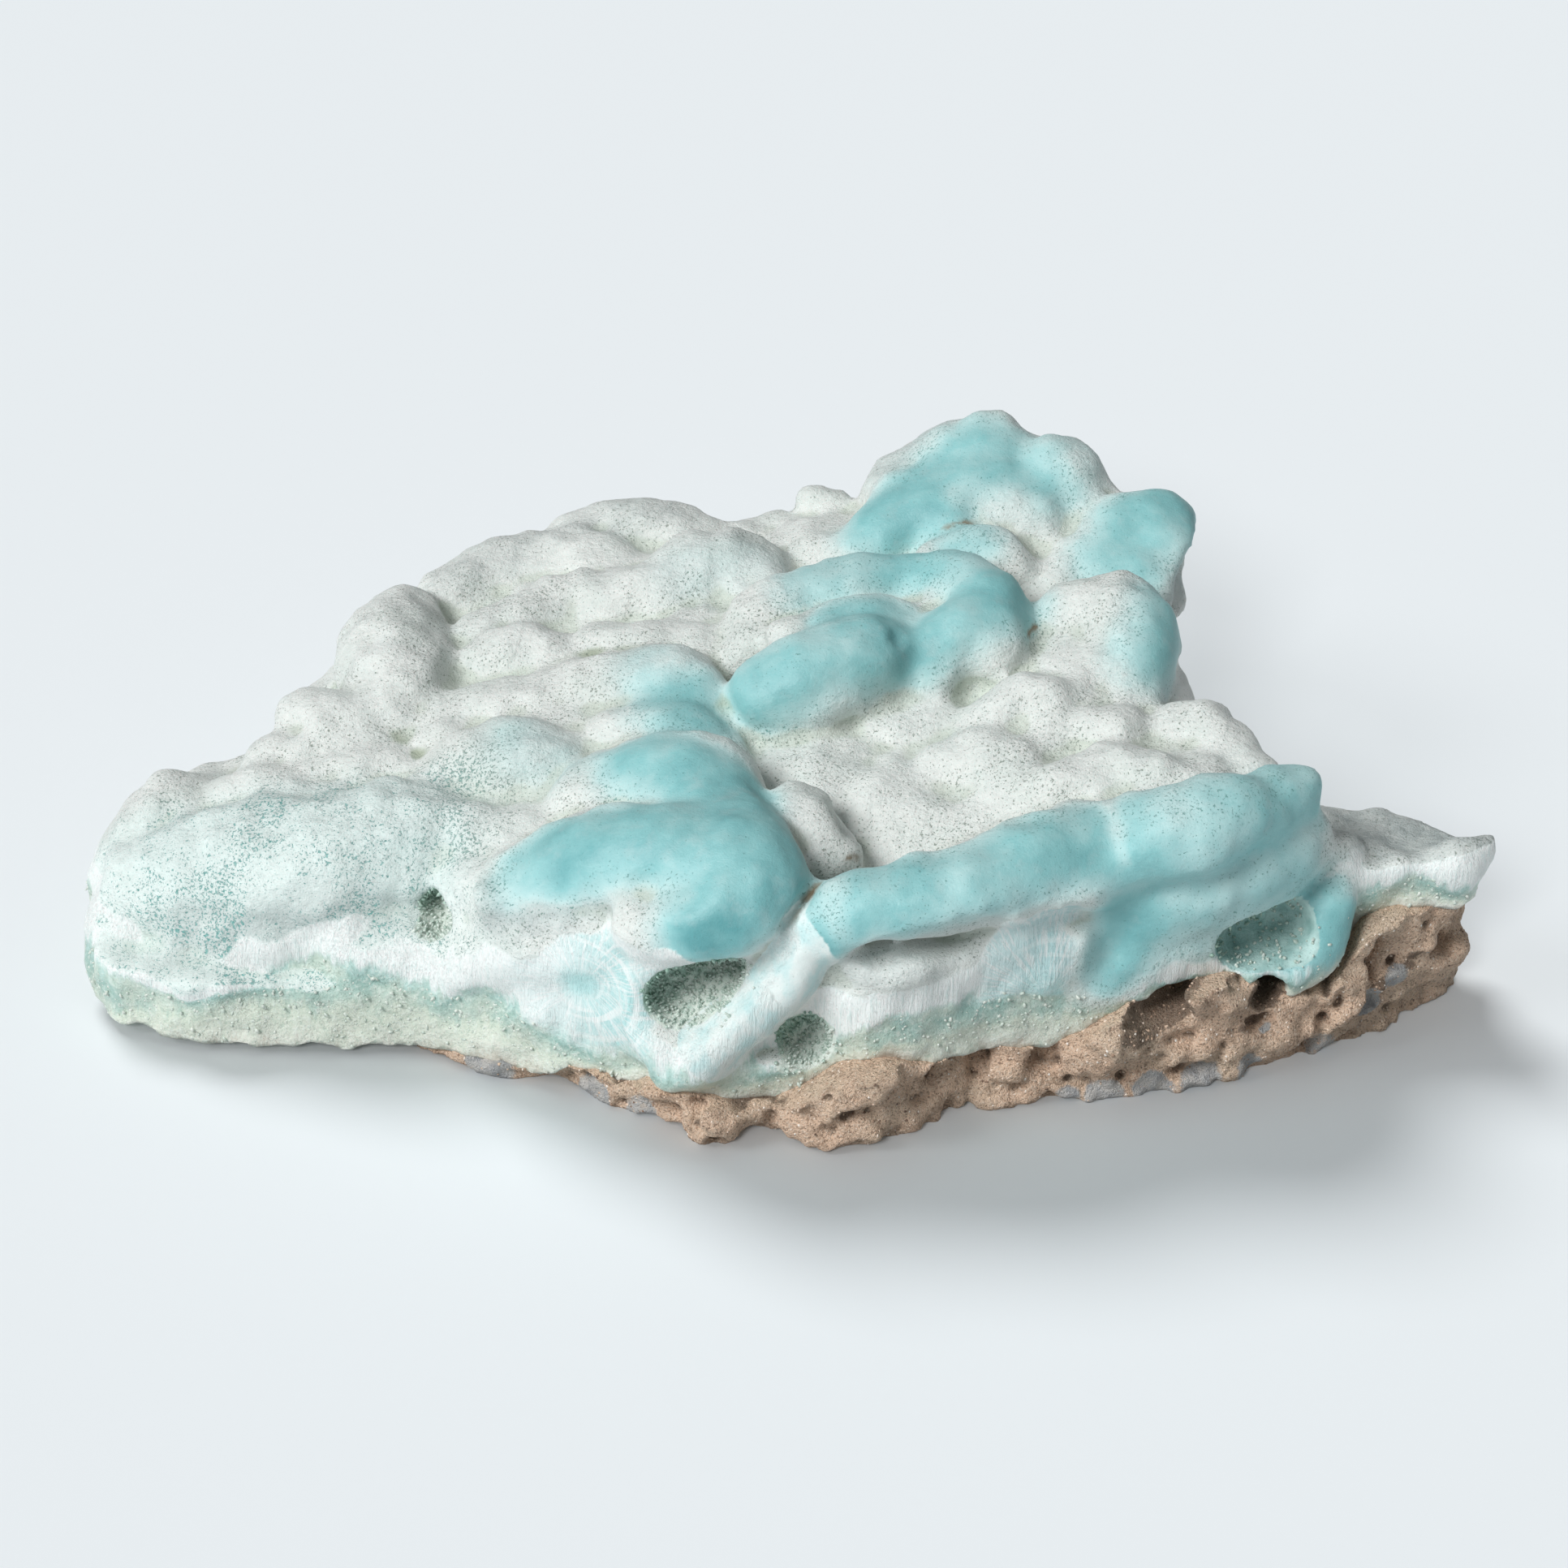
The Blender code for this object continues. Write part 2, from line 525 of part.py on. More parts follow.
def add_cut(made, cutter):
    cut = made.modifiers.new("cut " + cutter.name, "BOOLEAN")
    cut.operation = "DIFFERENCE"
    cut.object = cutter


def give_material(made, name, colour, roughness, through):
    """A material whose light partly passes through the surface."""
    material = bpy.data.materials.new(name)
    material.use_nodes = True
    shader = material.node_tree.nodes["Principled BSDF"]
    shader.inputs["Base Color"].default_value = (*colour, 1)
    shader.inputs["Roughness"].default_value = roughness
    shader.inputs["Subsurface Weight"].default_value = through
    shader.inputs["Subsurface Radius"].default_value = (1, 1, 1)
    shader.inputs["Subsurface Scale"].default_value = 2 * MM
    made.data.materials.append(material)


def build_crust(parts, cutters):
    shape = bmesh.new()
    add_prism(shape, CRUST_OUTLINE, -2.0, CRUST_TOP)
    add_prism(shape, CORE_OUTLINE, -2.0, CORE_TOP)
    add_prism(shape, FAN_OUTLINE, -2.0, FAN_TOP)
    add_prism(shape, LEDGE_OUTLINE, -2.0, LEDGE_TOP)
    add_growth(shape)
    crust = new_object("aragonite_crust", shape, parts)
    give_material(crust, "blue_aragonite", (0.55, 0.78, 0.78), 0.5, 0.3)
    add_remesh(crust, GROWTH_VOXEL)
    add_cut(crust, hollow_cutter("soft_hollows", SOFT_HOLLOWS, cutters))
    add_remesh(crust, GROWTH_VOXEL)
    add_smooth(crust, 4)
    add_lumps(crust, "broad growth", 9 * MM, 1.4 * MM)
    add_lumps(crust, "fine growth", 4 * MM, 0.8 * MM)
    add_decimate(crust, CRUST_FACES_KEPT)
    add_cut(crust, hollow_cutter("pockets", POCKETS, cutters))
    add_cut(crust, contact_cutter("below_contact", 0.0, -20 * MM, cutters))


def build_rock(parts, cutters):
    shape = bmesh.new()
    add_prism(shape, ROCK_OUTLINE, ROCK_BOTTOM, ROCK_TOP)
    rock = new_object("host_rock", shape, parts)
    give_material(rock, "sandy_rock", (0.38, 0.29, 0.23), 0.95, 0.0)
    add_remesh(rock, ROCK_VOXEL)
    add_smooth(rock, 4)
    add_lumps(rock, "broad breakage", 7 * MM, 4 * MM)
    add_lumps(rock, "fine breakage", 3 * MM, 1.8 * MM)
    add_remesh(rock, ROCK_VOXEL)
    add_decimate(rock, ROCK_FACES_KEPT)
    add_cut(rock, hollow_cutter("rock_pockets", ROCK_POCKETS, cutters))
    add_cut(rock, contact_cutter("above_contact", -CONTACT_GAP, 60 * MM, cutters))
    add_cut(rock, floor_cutter(cutters))


def build():
    for old in list(bpy.data.objects):
        bpy.data.objects.remove(old)
    parts = bpy.data.collections.new("blue_aragonite")
    cutters = bpy.data.collections.new("cutters")
    bpy.context.scene.collection.children.link(parts)
    bpy.context.scene.collection.children.link(cutters)
    build_crust(parts, cutters)
    build_rock(parts, cutters)


if __name__ == "__main__":
    build()
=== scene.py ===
"""Blue aragonite on its host rock: the visual model and the stage it lies on.

Lengths in the tables are in millimetres and turn into metres where a mesh is
made. +Z is up, +X runs to the right along the broken front, which faces -Y.
"""

import math

import bpy
import numpy as np
from bpy.props import FloatProperty, FloatVectorProperty, IntProperty, PointerProperty
from mathutils import Matrix, Vector, noise


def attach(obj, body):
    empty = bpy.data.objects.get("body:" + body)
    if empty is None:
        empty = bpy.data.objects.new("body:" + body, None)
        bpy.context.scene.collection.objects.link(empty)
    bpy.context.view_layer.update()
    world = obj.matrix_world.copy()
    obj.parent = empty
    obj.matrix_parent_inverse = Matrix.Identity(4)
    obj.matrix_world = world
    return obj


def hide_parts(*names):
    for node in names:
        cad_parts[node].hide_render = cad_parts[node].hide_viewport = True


bl_info = {
    "name": "Blue aragonite specimen",
    "version": (1, 0, 0),
    "blender": (4, 5, 0),
    "location": "View3D > Sidebar > Aragonite",
    "description": "Grows a crust of blue aragonite on sandy rock and sets it on a pale stage",
    "category": "Object",
}

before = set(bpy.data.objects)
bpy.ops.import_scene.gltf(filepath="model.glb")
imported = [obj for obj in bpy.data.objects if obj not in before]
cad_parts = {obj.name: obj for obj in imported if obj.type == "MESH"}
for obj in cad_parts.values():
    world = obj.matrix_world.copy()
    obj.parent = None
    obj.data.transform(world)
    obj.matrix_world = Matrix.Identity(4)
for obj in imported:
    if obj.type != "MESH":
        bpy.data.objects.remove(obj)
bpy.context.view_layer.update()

MM = 0.001

# Each ridge of the crust: how tall its balls are as a share of their radius,
# and its crest line of points (x, y, height of the top, radius).
RIDGES = {
    "west_tip": (0.9, [
        (-69, -6, 14.5, 5.5), (-66.5, -3.5, 17.5, 6), (-64.5, -1.8, 18.8, 6), (-61, -2.5, 18.6, 5),
    ]),
    "west_foot": (1.0, [(-68.5, -13, 8, 5.5), (-69, -11, 11.5, 5.5), (-68, -8, 14, 6)]),
    "front_roll": (0.9, [
        (-65, -9, 17.5, 7), (-57, -10.8, 21.2, 8), (-48.5, -12, 22.8, 8.5), (-41.5, -11.5, 24.7, 8),
        (-37, -11, 24.3, 6),
    ]),
    "roll_end": (0.9, [(-37, -11.5, 24.2, 6), (-32.5, -12.5, 23.6, 5), (-29, -14.5, 22, 4.5)]),
    "west_knob_a": (0.8, [(-58, -2.5, 20.6, 3.6), (-55, -2.3, 21.6, 3.8), (-52.5, -4, 21, 3.5)]),
    "west_knob_b": (0.8, [(-50.5, -5.3, 21.5, 3.4), (-46.5, -6.5, 22.4, 3.6)]),
    "west_knob_c": (0.8, [(-48.8, -2, 22, 3.8), (-44.5, -1, 23.2, 4.2), (-41.5, -2.5, 22.5, 3.6)]),
    "west_knob_d": (0.8, [(-54.8, 2.4, 21.5, 4), (-50.5, 2.4, 22.6, 4)]),
    "west_knob_e": (0.85, [(-50, 8, 23.8, 5), (-46.8, 5.5, 24.9, 5.2), (-45, 2.6, 23.7, 4.5)]),
    "west_shoulder": (0.9, [
        (-42.5, 24.5, 26.6, 5.5), (-42.3, 18, 27.8, 6.6), (-41.3, 12, 27.4, 6.4), (-42.5, 7, 25.2, 5),
    ]),
    "grey_hump": (0.85, [
        (-36, -5, 23.4, 4.2), (-32.8, -3.6, 25.2, 5.2), (-29.5, -3.2, 26.9, 6), (-24.8, -4.4, 26.8, 6),
        (-21.3, -5.6, 25.4, 4.8),
    ]),
    "mid_knob_a": (0.85, [(-32, 15, 26, 3.8), (-29, 16.3, 27.6, 4.4), (-25.5, 14.8, 27.4, 4)]),
    "mid_knob_b": (0.85, [
        (-33, 21, 26, 3.8), (-29, 22.8, 27, 4.2), (-24, 26.3, 27.6, 4.4), (-20.5, 26, 27.8, 4.4),
    ]),
    "long_ridge": (0.85, [
        (-37, 6.5, 24.3, 4.2), (-32.5, 7, 25.6, 4.8), (-27, 7, 26.8, 5), (-23, 8, 27.4, 5.3),
        (-18, 7.5, 28.9, 6), (-13.5, 6, 30.4, 6.4), (-11, 4, 30.2, 5.8), (-10, 1.5, 28.6, 4.8),
    ]),
    "long_ridge_foot": (0.8, [(-35, 2.5, 23.8, 4.5), (-28, 2.5, 25, 5.5), (-20, 2, 26, 6)]),
    "teal_step": (0.85, [(-16, -1.3, 28.2, 5), (-11.5, -3, 29.3, 5.6), (-8.5, -4.8, 28, 4.8)]),
    "teal_dome": (0.9, [
        (-19.8, -10.8, 26.6, 5.4), (-15.5, -11.2, 29.4, 6.6), (-11, -13, 31.2, 7.5), (-8.5, -16.5, 31, 7.2),
        (-7, -19.5, 30, 6.2),
    ]),
    "front_teal": (0.9, [
        (-28, -22.3, 22.3, 4.4), (-25, -22.8, 24.7, 5.4), (-21.5, -23, 27, 6.6), (-17, -24, 29.3, 7.4),
        (-11.5, -25.8, 31.2, 7.6), (-7, -28, 31.4, 7),
    ]),
    "front_teal_foot": (0.9, [
        (-30, -22.5, 17, 4.5), (-25, -24.6, 20, 5.5), (-19, -26.6, 22.8, 6), (-14, -28.4, 24.5, 5.6),
    ]),
    "nose": (0.9, [
        (-4.5, -28, 32, 6.5), (-3.2, -30.6, 31.2, 6.4), (-5.5, -33, 29.6, 5.4), (-9.5, -33.6, 27.8, 4.6),
        (-13.5, -32.4, 25.8, 4),
    ]),
    "arm": (1.0, [
        (4.5, -33.4, 26.8, 3.8), (3, -33.6, 25.9, 3.5), (1.6, -33.6, 24.9, 3.3), (0.7, -34.2, 22, 3.2),
        (-1.2, -35, 19.2, 3.1), (-4.2, -35.7, 16.3, 3.1), (-7.6, -35.9, 12.9, 3.2), (-10.6, -35.5, 11.2, 3.5),
    ]),
    "pocket_rim": (1.0, [
        (-10.6, -35.6, 11.2, 3.4), (-13.4, -34.6, 13.4, 2.6), (-14.9, -33.8, 16.5, 2.4),
        (-14.2, -33.4, 19.8, 2.4), (-11.5, -33.6, 22.2, 2.4),
    ]),
    "front_ridge": (0.9, [
        (4.5, -33.3, 27.4, 4), (9, -33.7, 29.1, 4.3), (15, -33, 29.9, 4.6), (19, -31.7, 30.4, 4.8),
        (23, -29.7, 30.9, 5), (27, -27.3, 31.3, 5.4), (31, -25.5, 31.2, 5.7),
    ]),
    "front_ridge_east": (0.9, [
        (33.5, -25, 31.6, 5.4), (36.5, -25.4, 32.9, 5.3), (40.5, -25.4, 33.4, 5.1), (44, -23.9, 33.8, 4.7),
        (47.5, -21.8, 32.8, 4.1), (50.6, -19.4, 32.6, 3.3), (52.6, -18.4, 32, 2.4),
    ]),
    "east_flange": (1.0, [
        (51.6, -19, 31.4, 2.6), (52.6, -18.4, 29, 2.2), (53.6, -17.8, 26.4, 2.2), (55, -17, 23.8, 2.4),
        (57.5, -15.8, 21.4, 3),
    ]),
    "east_valley_ridge": (0.85, [
        (27.5, -13.5, 27.8, 3.6), (31, -12.5, 29.5, 4), (35.5, -12.5, 30.1, 4.2), (39.5, -13.8, 29.7, 4),
        (43, -14, 29.2, 4),
    ]),
    "small_east_knob": (0.85, [(31.5, -4.2, 29.8, 3.4), (35, -4.8, 30, 3.6)]),
    "east_knob": (0.85, [
        (41, -4.5, 29.3, 3.8), (43.8, -4, 30.2, 4), (46, -7.2, 29.2, 3.8), (47.8, -10.5, 28.6, 3.4),
    ]),
    "east_lobe": (0.9, [
        (29, 13.3, 31.6, 4.4), (32, 14.6, 33.7, 5), (35.3, 14.3, 35, 5.5), (37, 11.5, 35, 5.6),
        (36.4, 7, 33.2, 5.4), (35.8, 2.5, 31.2, 4.8),
    ]),
    "east_lobe_fold": (0.85, [(29.5, 9.5, 31, 4), (30.5, 5.5, 31.2, 4), (32, 1, 30.2, 4)]),
    "saddle_ridge": (0.85, [
        (22.5, -1.3, 29.4, 3.8), (25.6, 0.2, 31.1, 4), (27.6, -1.5, 30.6, 3.8), (28, -5, 29.2, 3.6),
    ]),
    "saddle_front": (0.85, [
        (18.5, -7, 27.2, 5), (22.3, -7.5, 28.9, 5.6), (24.3, -11.5, 27.4, 5.4), (21.5, -13.5, 25.4, 5),
    ]),
    "sausage": (0.95, [
        (-0.8, 1.6, 32.4, 5), (2, 2.4, 34.3, 5.7), (5.2, 3.6, 35, 5.9), (8.2, 5, 35, 5.7),
        (10.3, 6, 33.8, 4.8),
    ]),
    "behind_sausage": (0.9, [
        (1.5, 9.3, 33.2, 3.2), (6.5, 10.8, 34, 3.4), (10, 12, 34, 3.4), (11.6, 11, 33, 3),
    ]),
    "heart_west": (0.9, [
        (-3.7, 12.5, 30.4, 4.2), (-1.7, 16.2, 31.9, 4.8), (3, 18.8, 33, 5), (7.5, 20.2, 33.6, 5),
        (11, 20.6, 33.4, 4.4),
    ]),
    "heart_rim": (0.95, [
        (14, 20.6, 33.7, 4.3), (17.3, 20, 34.7, 4.8), (20.3, 17, 35.3, 5), (21.6, 13, 35.2, 5),
        (21.6, 9, 33.8, 4.8),
    ]),
    "heart_east": (0.95, [
        (15, 6, 32, 4.4), (17, 8.3, 33.8, 4.8), (19.5, 9.6, 34.8, 5), (21.5, 9, 34.2, 4.8),
    ]),
    "back_lobe": (0.9, [
        (-19.5, 25.6, 28, 5), (-15, 25.8, 29.4, 5.6), (-10, 27.5, 30.9, 6), (-5.7, 28.7, 31.4, 6),
        (-3.2, 27, 30.8, 5.2), (-2.8, 23.5, 30, 4.6),
    ]),
    "back_lobe_step": (0.85, [(-19.5, 15.5, 28, 4.4), (-14, 15, 29, 5), (-9.5, 13.5, 29.4, 4.8)]),
    "back_rim": (0.9, [
        (-24, 41, 26.6, 4.6), (-20, 43, 27.9, 5), (-15.5, 42.3, 28.8, 5.2), (-11, 40.3, 28, 4.8),
        (-6, 40.3, 26.6, 4.2), (-1, 42.5, 26.6, 4.2),
    ]),
    "back_rim_west": (0.9, [
        (-36.8, 32, 25.4, 4.8), (-30, 37, 26.8, 5.2), (-23.5, 36.8, 27.8, 5.4), (-19, 33.5, 27.6, 5),
        (-15.2, 31.6, 27, 4.2),
    ]),
    "back_spike": (1.0, [(3.6, 45, 29, 2), (6, 44.6, 28.6, 2.6)]),
    "mound": (0.9, [
        (13.8, 42.5, 33.2, 5.5), (17.6, 44.4, 35.4, 6.4), (22.4, 43.8, 37.9, 6.8), (26.6, 41.3, 36.1, 5.8),
        (30.4, 40.2, 37.3, 5.2), (33.2, 36.6, 35, 5),
    ]),
    "mound_face": (0.9, [(16, 38.5, 34.8, 6.6), (21.5, 38, 36.2, 7), (27, 35.5, 35.3, 6.6)]),
    "mound_foot": (0.9, [
        (9, 31.8, 31.4, 4.4), (12, 34, 33.7, 4.8), (15.3, 35, 34.8, 5), (18.3, 33.3, 34.4, 4.4),
    ]),
    "little_knob": (0.9, [(17.5, 26.2, 32.4, 3.6), (21, 27, 33.5, 4), (24.2, 25.6, 32.8, 3.8)]),
    "far_east_lobe": (0.95, [
        (31, 25, 30.5, 5.5), (35, 28.5, 32.8, 6), (38.4, 32, 35, 6), (41.2, 32.3, 35.5, 5),
        (42, 29.4, 34.4, 4.8),
    ]),
    "far_east_face": (0.95, [(35, 23.5, 30.8, 5), (39, 25.5, 32.3, 5.2), (41.6, 27, 32.4, 4.4)]),
    "dome_link": (0.9, [(-7.5, -18, 30.3, 6), (-5.6, -22, 30.6, 5.6), (-4.6, -26, 31.5, 6)]),
    "teal_slope": (1.0, [
        (37, -23.2, 26, 5.6), (41, -22.8, 27.4, 6), (45.5, -21.6, 28, 6), (50, -19, 28, 5.4),
    ]),
    "pocket_foot": (1.0, [
        (47, -24.6, 13, 3.2), (51, -23.6, 13.4, 3.2), (54.4, -21.6, 15.4, 3.2), (56.4, -19.6, 19, 3),
    ]),
    "notch_wall": (1.0, [
        (-44, -18.5, 14.5, 4.6), (-39, -19, 13.8, 4.4), (-35, -20.5, 13, 4.2), (-31, -23, 15.5, 4.4),
    ]),
    "ledge_tip": (0.8, [(68, -15.6, 20.6, 2), (71, -15.4, 21.4, 2), (72.6, -14.6, 20.6, 1.6)]),
    "valley_hill": (0.85, [
        (-2, -19.5, 27.4, 4), (0.5, -18.7, 28.6, 4.4), (3, -20, 27.9, 4.2), (4, -22.3, 26.4, 3.8),
    ]),
}

# Broad swells under the ridges: (x, y, height of the top, radius, height as
# a share of the radius).
SWELLS = [
    (-53, -3, 19, 18, 0.5), (-40, 2, 21.5, 16, 0.5), (-34, 16, 23, 20, 0.45), (-22, 24, 25.5, 21, 0.5),
    (-10, 30, 27, 16, 0.5), (-25, -13, 23.5, 13, 0.7), (-12, -18, 27.5, 14, 0.8), (-16, 4, 26.5, 13, 0.7),
    (8, 34, 29.5, 15, 0.7), (22, 36, 32, 14, 0.8), (4, 14, 31, 10, 0.8), (16, 14, 32, 9.5, 0.8),
    (4, -5, 25.8, 11, 0.6), (13, 3, 28.5, 8, 0.7), (12, -7, 25.6, 11, 0.6), (15, -13, 24, 9, 0.6),
    (8, -17, 21.5, 9, 0.6), (26, 12, 30, 11, 0.7), (32, 22, 29, 11, 0.7), (33, 8, 30.5, 11, 0.7),
    (24, -2, 28, 11, 0.6), (36, -5, 28.3, 11, 0.6), (42, -13, 28.6, 9, 0.7), (20, -15, 23.8, 10, 0.6),
    (22, -25, 26.5, 8, 0.9), (36, -20, 29, 9, 0.9), (-8, 16, 28.5, 9, 0.6),
]

# Outlines of the crust, its thick core, the fan's block, the ledge and the rock, seen from above.
CRUST_OUTLINE = [
    (-72.5, -17), (-70, -20.5), (-62, -23), (-54, -24), (-48, -24), (-42, -24), (-35, -25.6), (-29, -28.2),
    (-17, -33), (-10, -37), (1, -36.5), (5, -34.5), (12, -35), (20, -32), (35, -29), (44, -26), (50, -25),
    (58, -21.5), (66, -17), (60, -9), (54, -7), (51, -4), (47, 0), (41, 4), (40.5, 16), (43, 25), (44.5, 33),
    (37, 39), (31, 44), (23, 48.5), (14, 47), (4, 45), (-6, 42.5), (-15, 45), (-23, 43.5), (-34, 36.5),
    (-42, 28), (-48, 17), (-56, 6), (-64, 1.5), (-70, -3),
]
CORE_OUTLINE = [
    (-33, -22), (-26, -27.5), (-17, -31.5), (-10, -35), (-4, -34), (3, -34), (8, -36.5), (14, -36), (20, -33),
    (28, -31.5), (35, -29.5), (41, -27.5), (47, -25), (53, -21.5), (54, -10), (47, -2), (40, 5), (39.5, 17),
    (42, 26), (42.5, 32), (36, 38), (30, 42.5), (23, 46.5), (12, 45), (4, 43), (-6, 40.5), (-15, 43),
    (-23, 41.5), (-33, 34.5), (-40, 26), (-44, 14), (-40, -6),
]
FAN_OUTLINE = [(-31, -26), (-24, -30.3), (-17, -33), (-13, -34.2), (-9, -34), (-9, -26), (-20, -22), (-30, -20)]
LEDGE_OUTLINE = [
    (50, -18.5), (56, -17.5), (61, -18.3), (66, -17.8), (71, -18.2), (73, -16), (72.8, -12.5), (68, -9),
    (62, -6.8), (55, -6.5), (50, -8),
]
# Straight-sided blocks that the ridges grow from: (outline, height).
BLOCKS = [(CRUST_OUTLINE, 8.0), (CORE_OUTLINE, 20.0), (FAN_OUTLINE, 21.5), (LEDGE_OUTLINE, 19.5)]
BLOCK_BOTTOM = -2.0

# Smooth hollows of the growth: lines of points (x, y, z of the middle, radius).
SOFT_HOLLOWS = {
    "notch": [
        (-36.6, -24.4, 20.2, 2.2), (-36, -21.4, 21.6, 2.7), (-35, -18, 23.9, 3.1), (-34, -14.5, 26.4, 3),
    ],
    "roll_foot": [(-66, -23.4, 15.5, 4.4), (-56, -23.6, 18, 4.8), (-47, -24, 19.5, 4.8)],
    "under_ridge": [(5, -41.6, 19.5, 4.8), (10, -41.8, 21.5, 5), (15, -40.8, 22, 5), (21, -38.4, 23, 4.6)],
    "under_far_lobe": [(45.8, 22.5, 26.8, 4), (46.8, 27, 28.2, 4), (47.4, 31, 29, 3.6)],
    "beside_arm": [(4.4, -41.5, 13.5, 4), (9, -42, 17, 4.4)],
    "beside_fan": [(33, -32.6, 15.2, 3.2), (33.6, -32, 18.6, 3.6), (34.4, -31.4, 21.6, 3.2)],
    "beside_flange": [(57.5, -23.5, 27, 4), (60.5, -23, 24.5, 3.6)],
    "basin_foot": [(6.8, -18.5, 26.5, 3), (8, -20.5, 26.5, 2.6)],
}

# Open pockets: lines of points (x, y, z of the middle, radius).
POCKETS = {
    "druse_pocket": [(-10.9, -38.9, 14.5, 2.9), (-8.9, -38.4, 16, 3.7), (-5.9, -37.8, 18.3, 3)],
    "druse_pocket_inside": [(-10.2, -35, 15.6, 3.6), (-6.6, -33.4, 18, 3.1)],
    "dark_pocket": [(1, -38.2, 8.4, 2.4), (1.6, -37.8, 10.4, 2.4), (2.2, -34.8, 9.8, 2.8)],
    "teal_pocket": [(45.4, -28.6, 15, 2.4), (49.4, -27.8, 15.6, 3.5), (52.6, -25.4, 15.4, 2.9)],
    "teal_pocket_inside": [(47, -24.4, 15.2, 3.2), (51.4, -22.4, 15.4, 2.9)],
    "notch_pocket": [(-37, -21.4, 15.6, 1.9), (-35.6, -20.4, 15, 2.3), (-35.4, -18.4, 15.2, 2)],
}
# Sharp clefts between lobes: the same kind of lines.
CLEFTS = {
    "nose_cleft": [
        (4.6, -29, 27.6, 1.1), (3.7, -31.3, 27.6, 1), (1.8, -34, 26.6, 1), (-0.3, -36.2, 24.4, 0.8),
    ],
    "heart_cleft": [(12.2, 4, 33.8, 1.3), (13.2, 6.6, 35, 1.5), (14.2, 9, 35.6, 1.4)],
    "hole_mouth": [(49.4, -29, 9.2, 2.2), (49.6, -24, 9.4, 2.1), (49.8, -20, 9.6, 1.9)],
    "behind_sausage_cleft": [(0, 6.5, 34.3, 1.1), (4, 7.8, 35.8, 1.1), (8.5, 9, 36.2, 1.1)],
}
# The same for the holes in the rock.
ROCK_POCKETS = {
    "black_hole": [(49.4, -28.5, 9.3, 1.9), (49.6, -22, 9.4, 1.8), (50, -16, 10, 1.5)],
    "cave": [(37, -34, 9.2, 2.8), (38.4, -30.4, 10.6, 3), (40.5, -26, 11.2, 2.6)],
    "slit": [(44, -31, 6.2, 1.1), (47, -29.5, 6.6, 1.2), (50, -28, 6.6, 1)],
    "east_slit": [(62, -22, 6.5, 1.4), (66, -19.5, 8, 1.6)],
}

# Where the aragonite meets the rock along the broken front: (x, y, height).
FRONT_CONTACT = [
    (-75, -18, 1.2), (-60, -23, 1.2), (-48, -24, 1.2), (-36, -26, 1.2), (-30.5, -27.5, 1.6),
    (-25.5, -29, 1.5), (-22, -30.5, 3.2), (-17, -33, 3), (-13.5, -37, 4.6), (-8.5, -39.5, 4.5),
    (-5.5, -38.8, 3.8), (-0.5, -38.5, 3), (3.5, -40, 5.5), (7, -40, 8.3), (11, -40, 9.4), (15, -36.5, 7.6),
    (19.5, -33.5, 7.5), (22.5, -32.5, 7), (27, -32.5, 6.3), (31, -32.5, 7.6), (34, -32, 9.3),
    (38.5, -30, 11.2), (42, -29.5, 12), (46, -28, 12.3), (48, -27.5, 11), (52, -25.5, 8.3), (56, -24, 7.8),
    (58, -22.5, 10), (60, -20.5, 13.2), (64, -19, 14.5), (70, -15.5, 14.3), (75, -12, 14.5),
]
# Height of the contact inside the piece, and how far behind the front it gets there.
INNER_CONTACT = 8.0
CONTACT_BLEND = 14.0

# The bands of the broken front from the rock upwards: x, then the heights of
# the contact, the top of the pale crystals, the top of the green glassy band
# and the top of the white fibres, where the rounded skin starts.
FRONT_BANDS = [
    (-75, 0, 2.5, 7.5, 12), (-71.5, 0, 2, 7.2, 11.5), (-68, 0, 3, 7, 10.5), (-65.5, 0, 4.5, 6.5, 8),
    (-62, 0, 5, 5.8, 7), (-58.5, 0, 6.4, 7.2, 9), (-56, 0, 6.8, 7.6, 11.5), (-52.5, 0, 6.8, 8.2, 12.5),
    (-48.5, 0, 6, 10.2, 14.5), (-44.5, 0, 6.4, 10.4, 15), (-41, 0, 6.4, 9.6, 14), (-35, 1.5, 6, 8.2, 13.5),
    (-30.5, 2, 7, 10, 15.5), (-25.5, 1.8, 5, 8, 16), (-20.5, 3, 4.5, 6, 21), (-17, 3, 4.2, 6, 22.5),
    (-13.5, 4.5, 6, 7.5, 23), (-8.5, 4.5, 6, 7, 21), (-5.5, 3.5, 5, 6.5, 20), (-0.5, 3, 6, 7, 17),
    (3.5, 5.5, 7.2, 8.8, 16), (7, 8, 9, 10.8, 15.5), (11, 9, 10.2, 13.6, 17), (15, 7.5, 10.5, 13.5, 17),
    (19, 7.5, 10.5, 13.2, 18.5), (22.5, 7.5, 10.8, 14, 24), (26.5, 6.5, 10.3, 13.5, 24.5),
    (31, 8, 10, 12.5, 24), (34.5, 9, 9.5, 10.5, 16), (37.5, 11, 11.2, 12, 15), (42, 11, 11.2, 12, 14.5),
    (48, 10.5, 11, 12, 14), (53, 8, 9, 10, 17), (57, 8.5, 13, 15.5, 21), (60.5, 13, 14.5, 16.5, 21),
    (65.5, 14, 16, 18, 21), (70, 14, 14.8, 16, 21), (75, 14, 14.8, 16, 21),
]
# The same heights on the sides and the back.
SIDE_BANDS = (7.0, 8.5, 10.0, 13.0)
# How far behind the front's contact its bands hold, and where they have gone.
FRONT_DEPTH = (7.0, 10.0)
# Height over the white fibres in which the rounded skin closes.
SKIN_START = 5.0

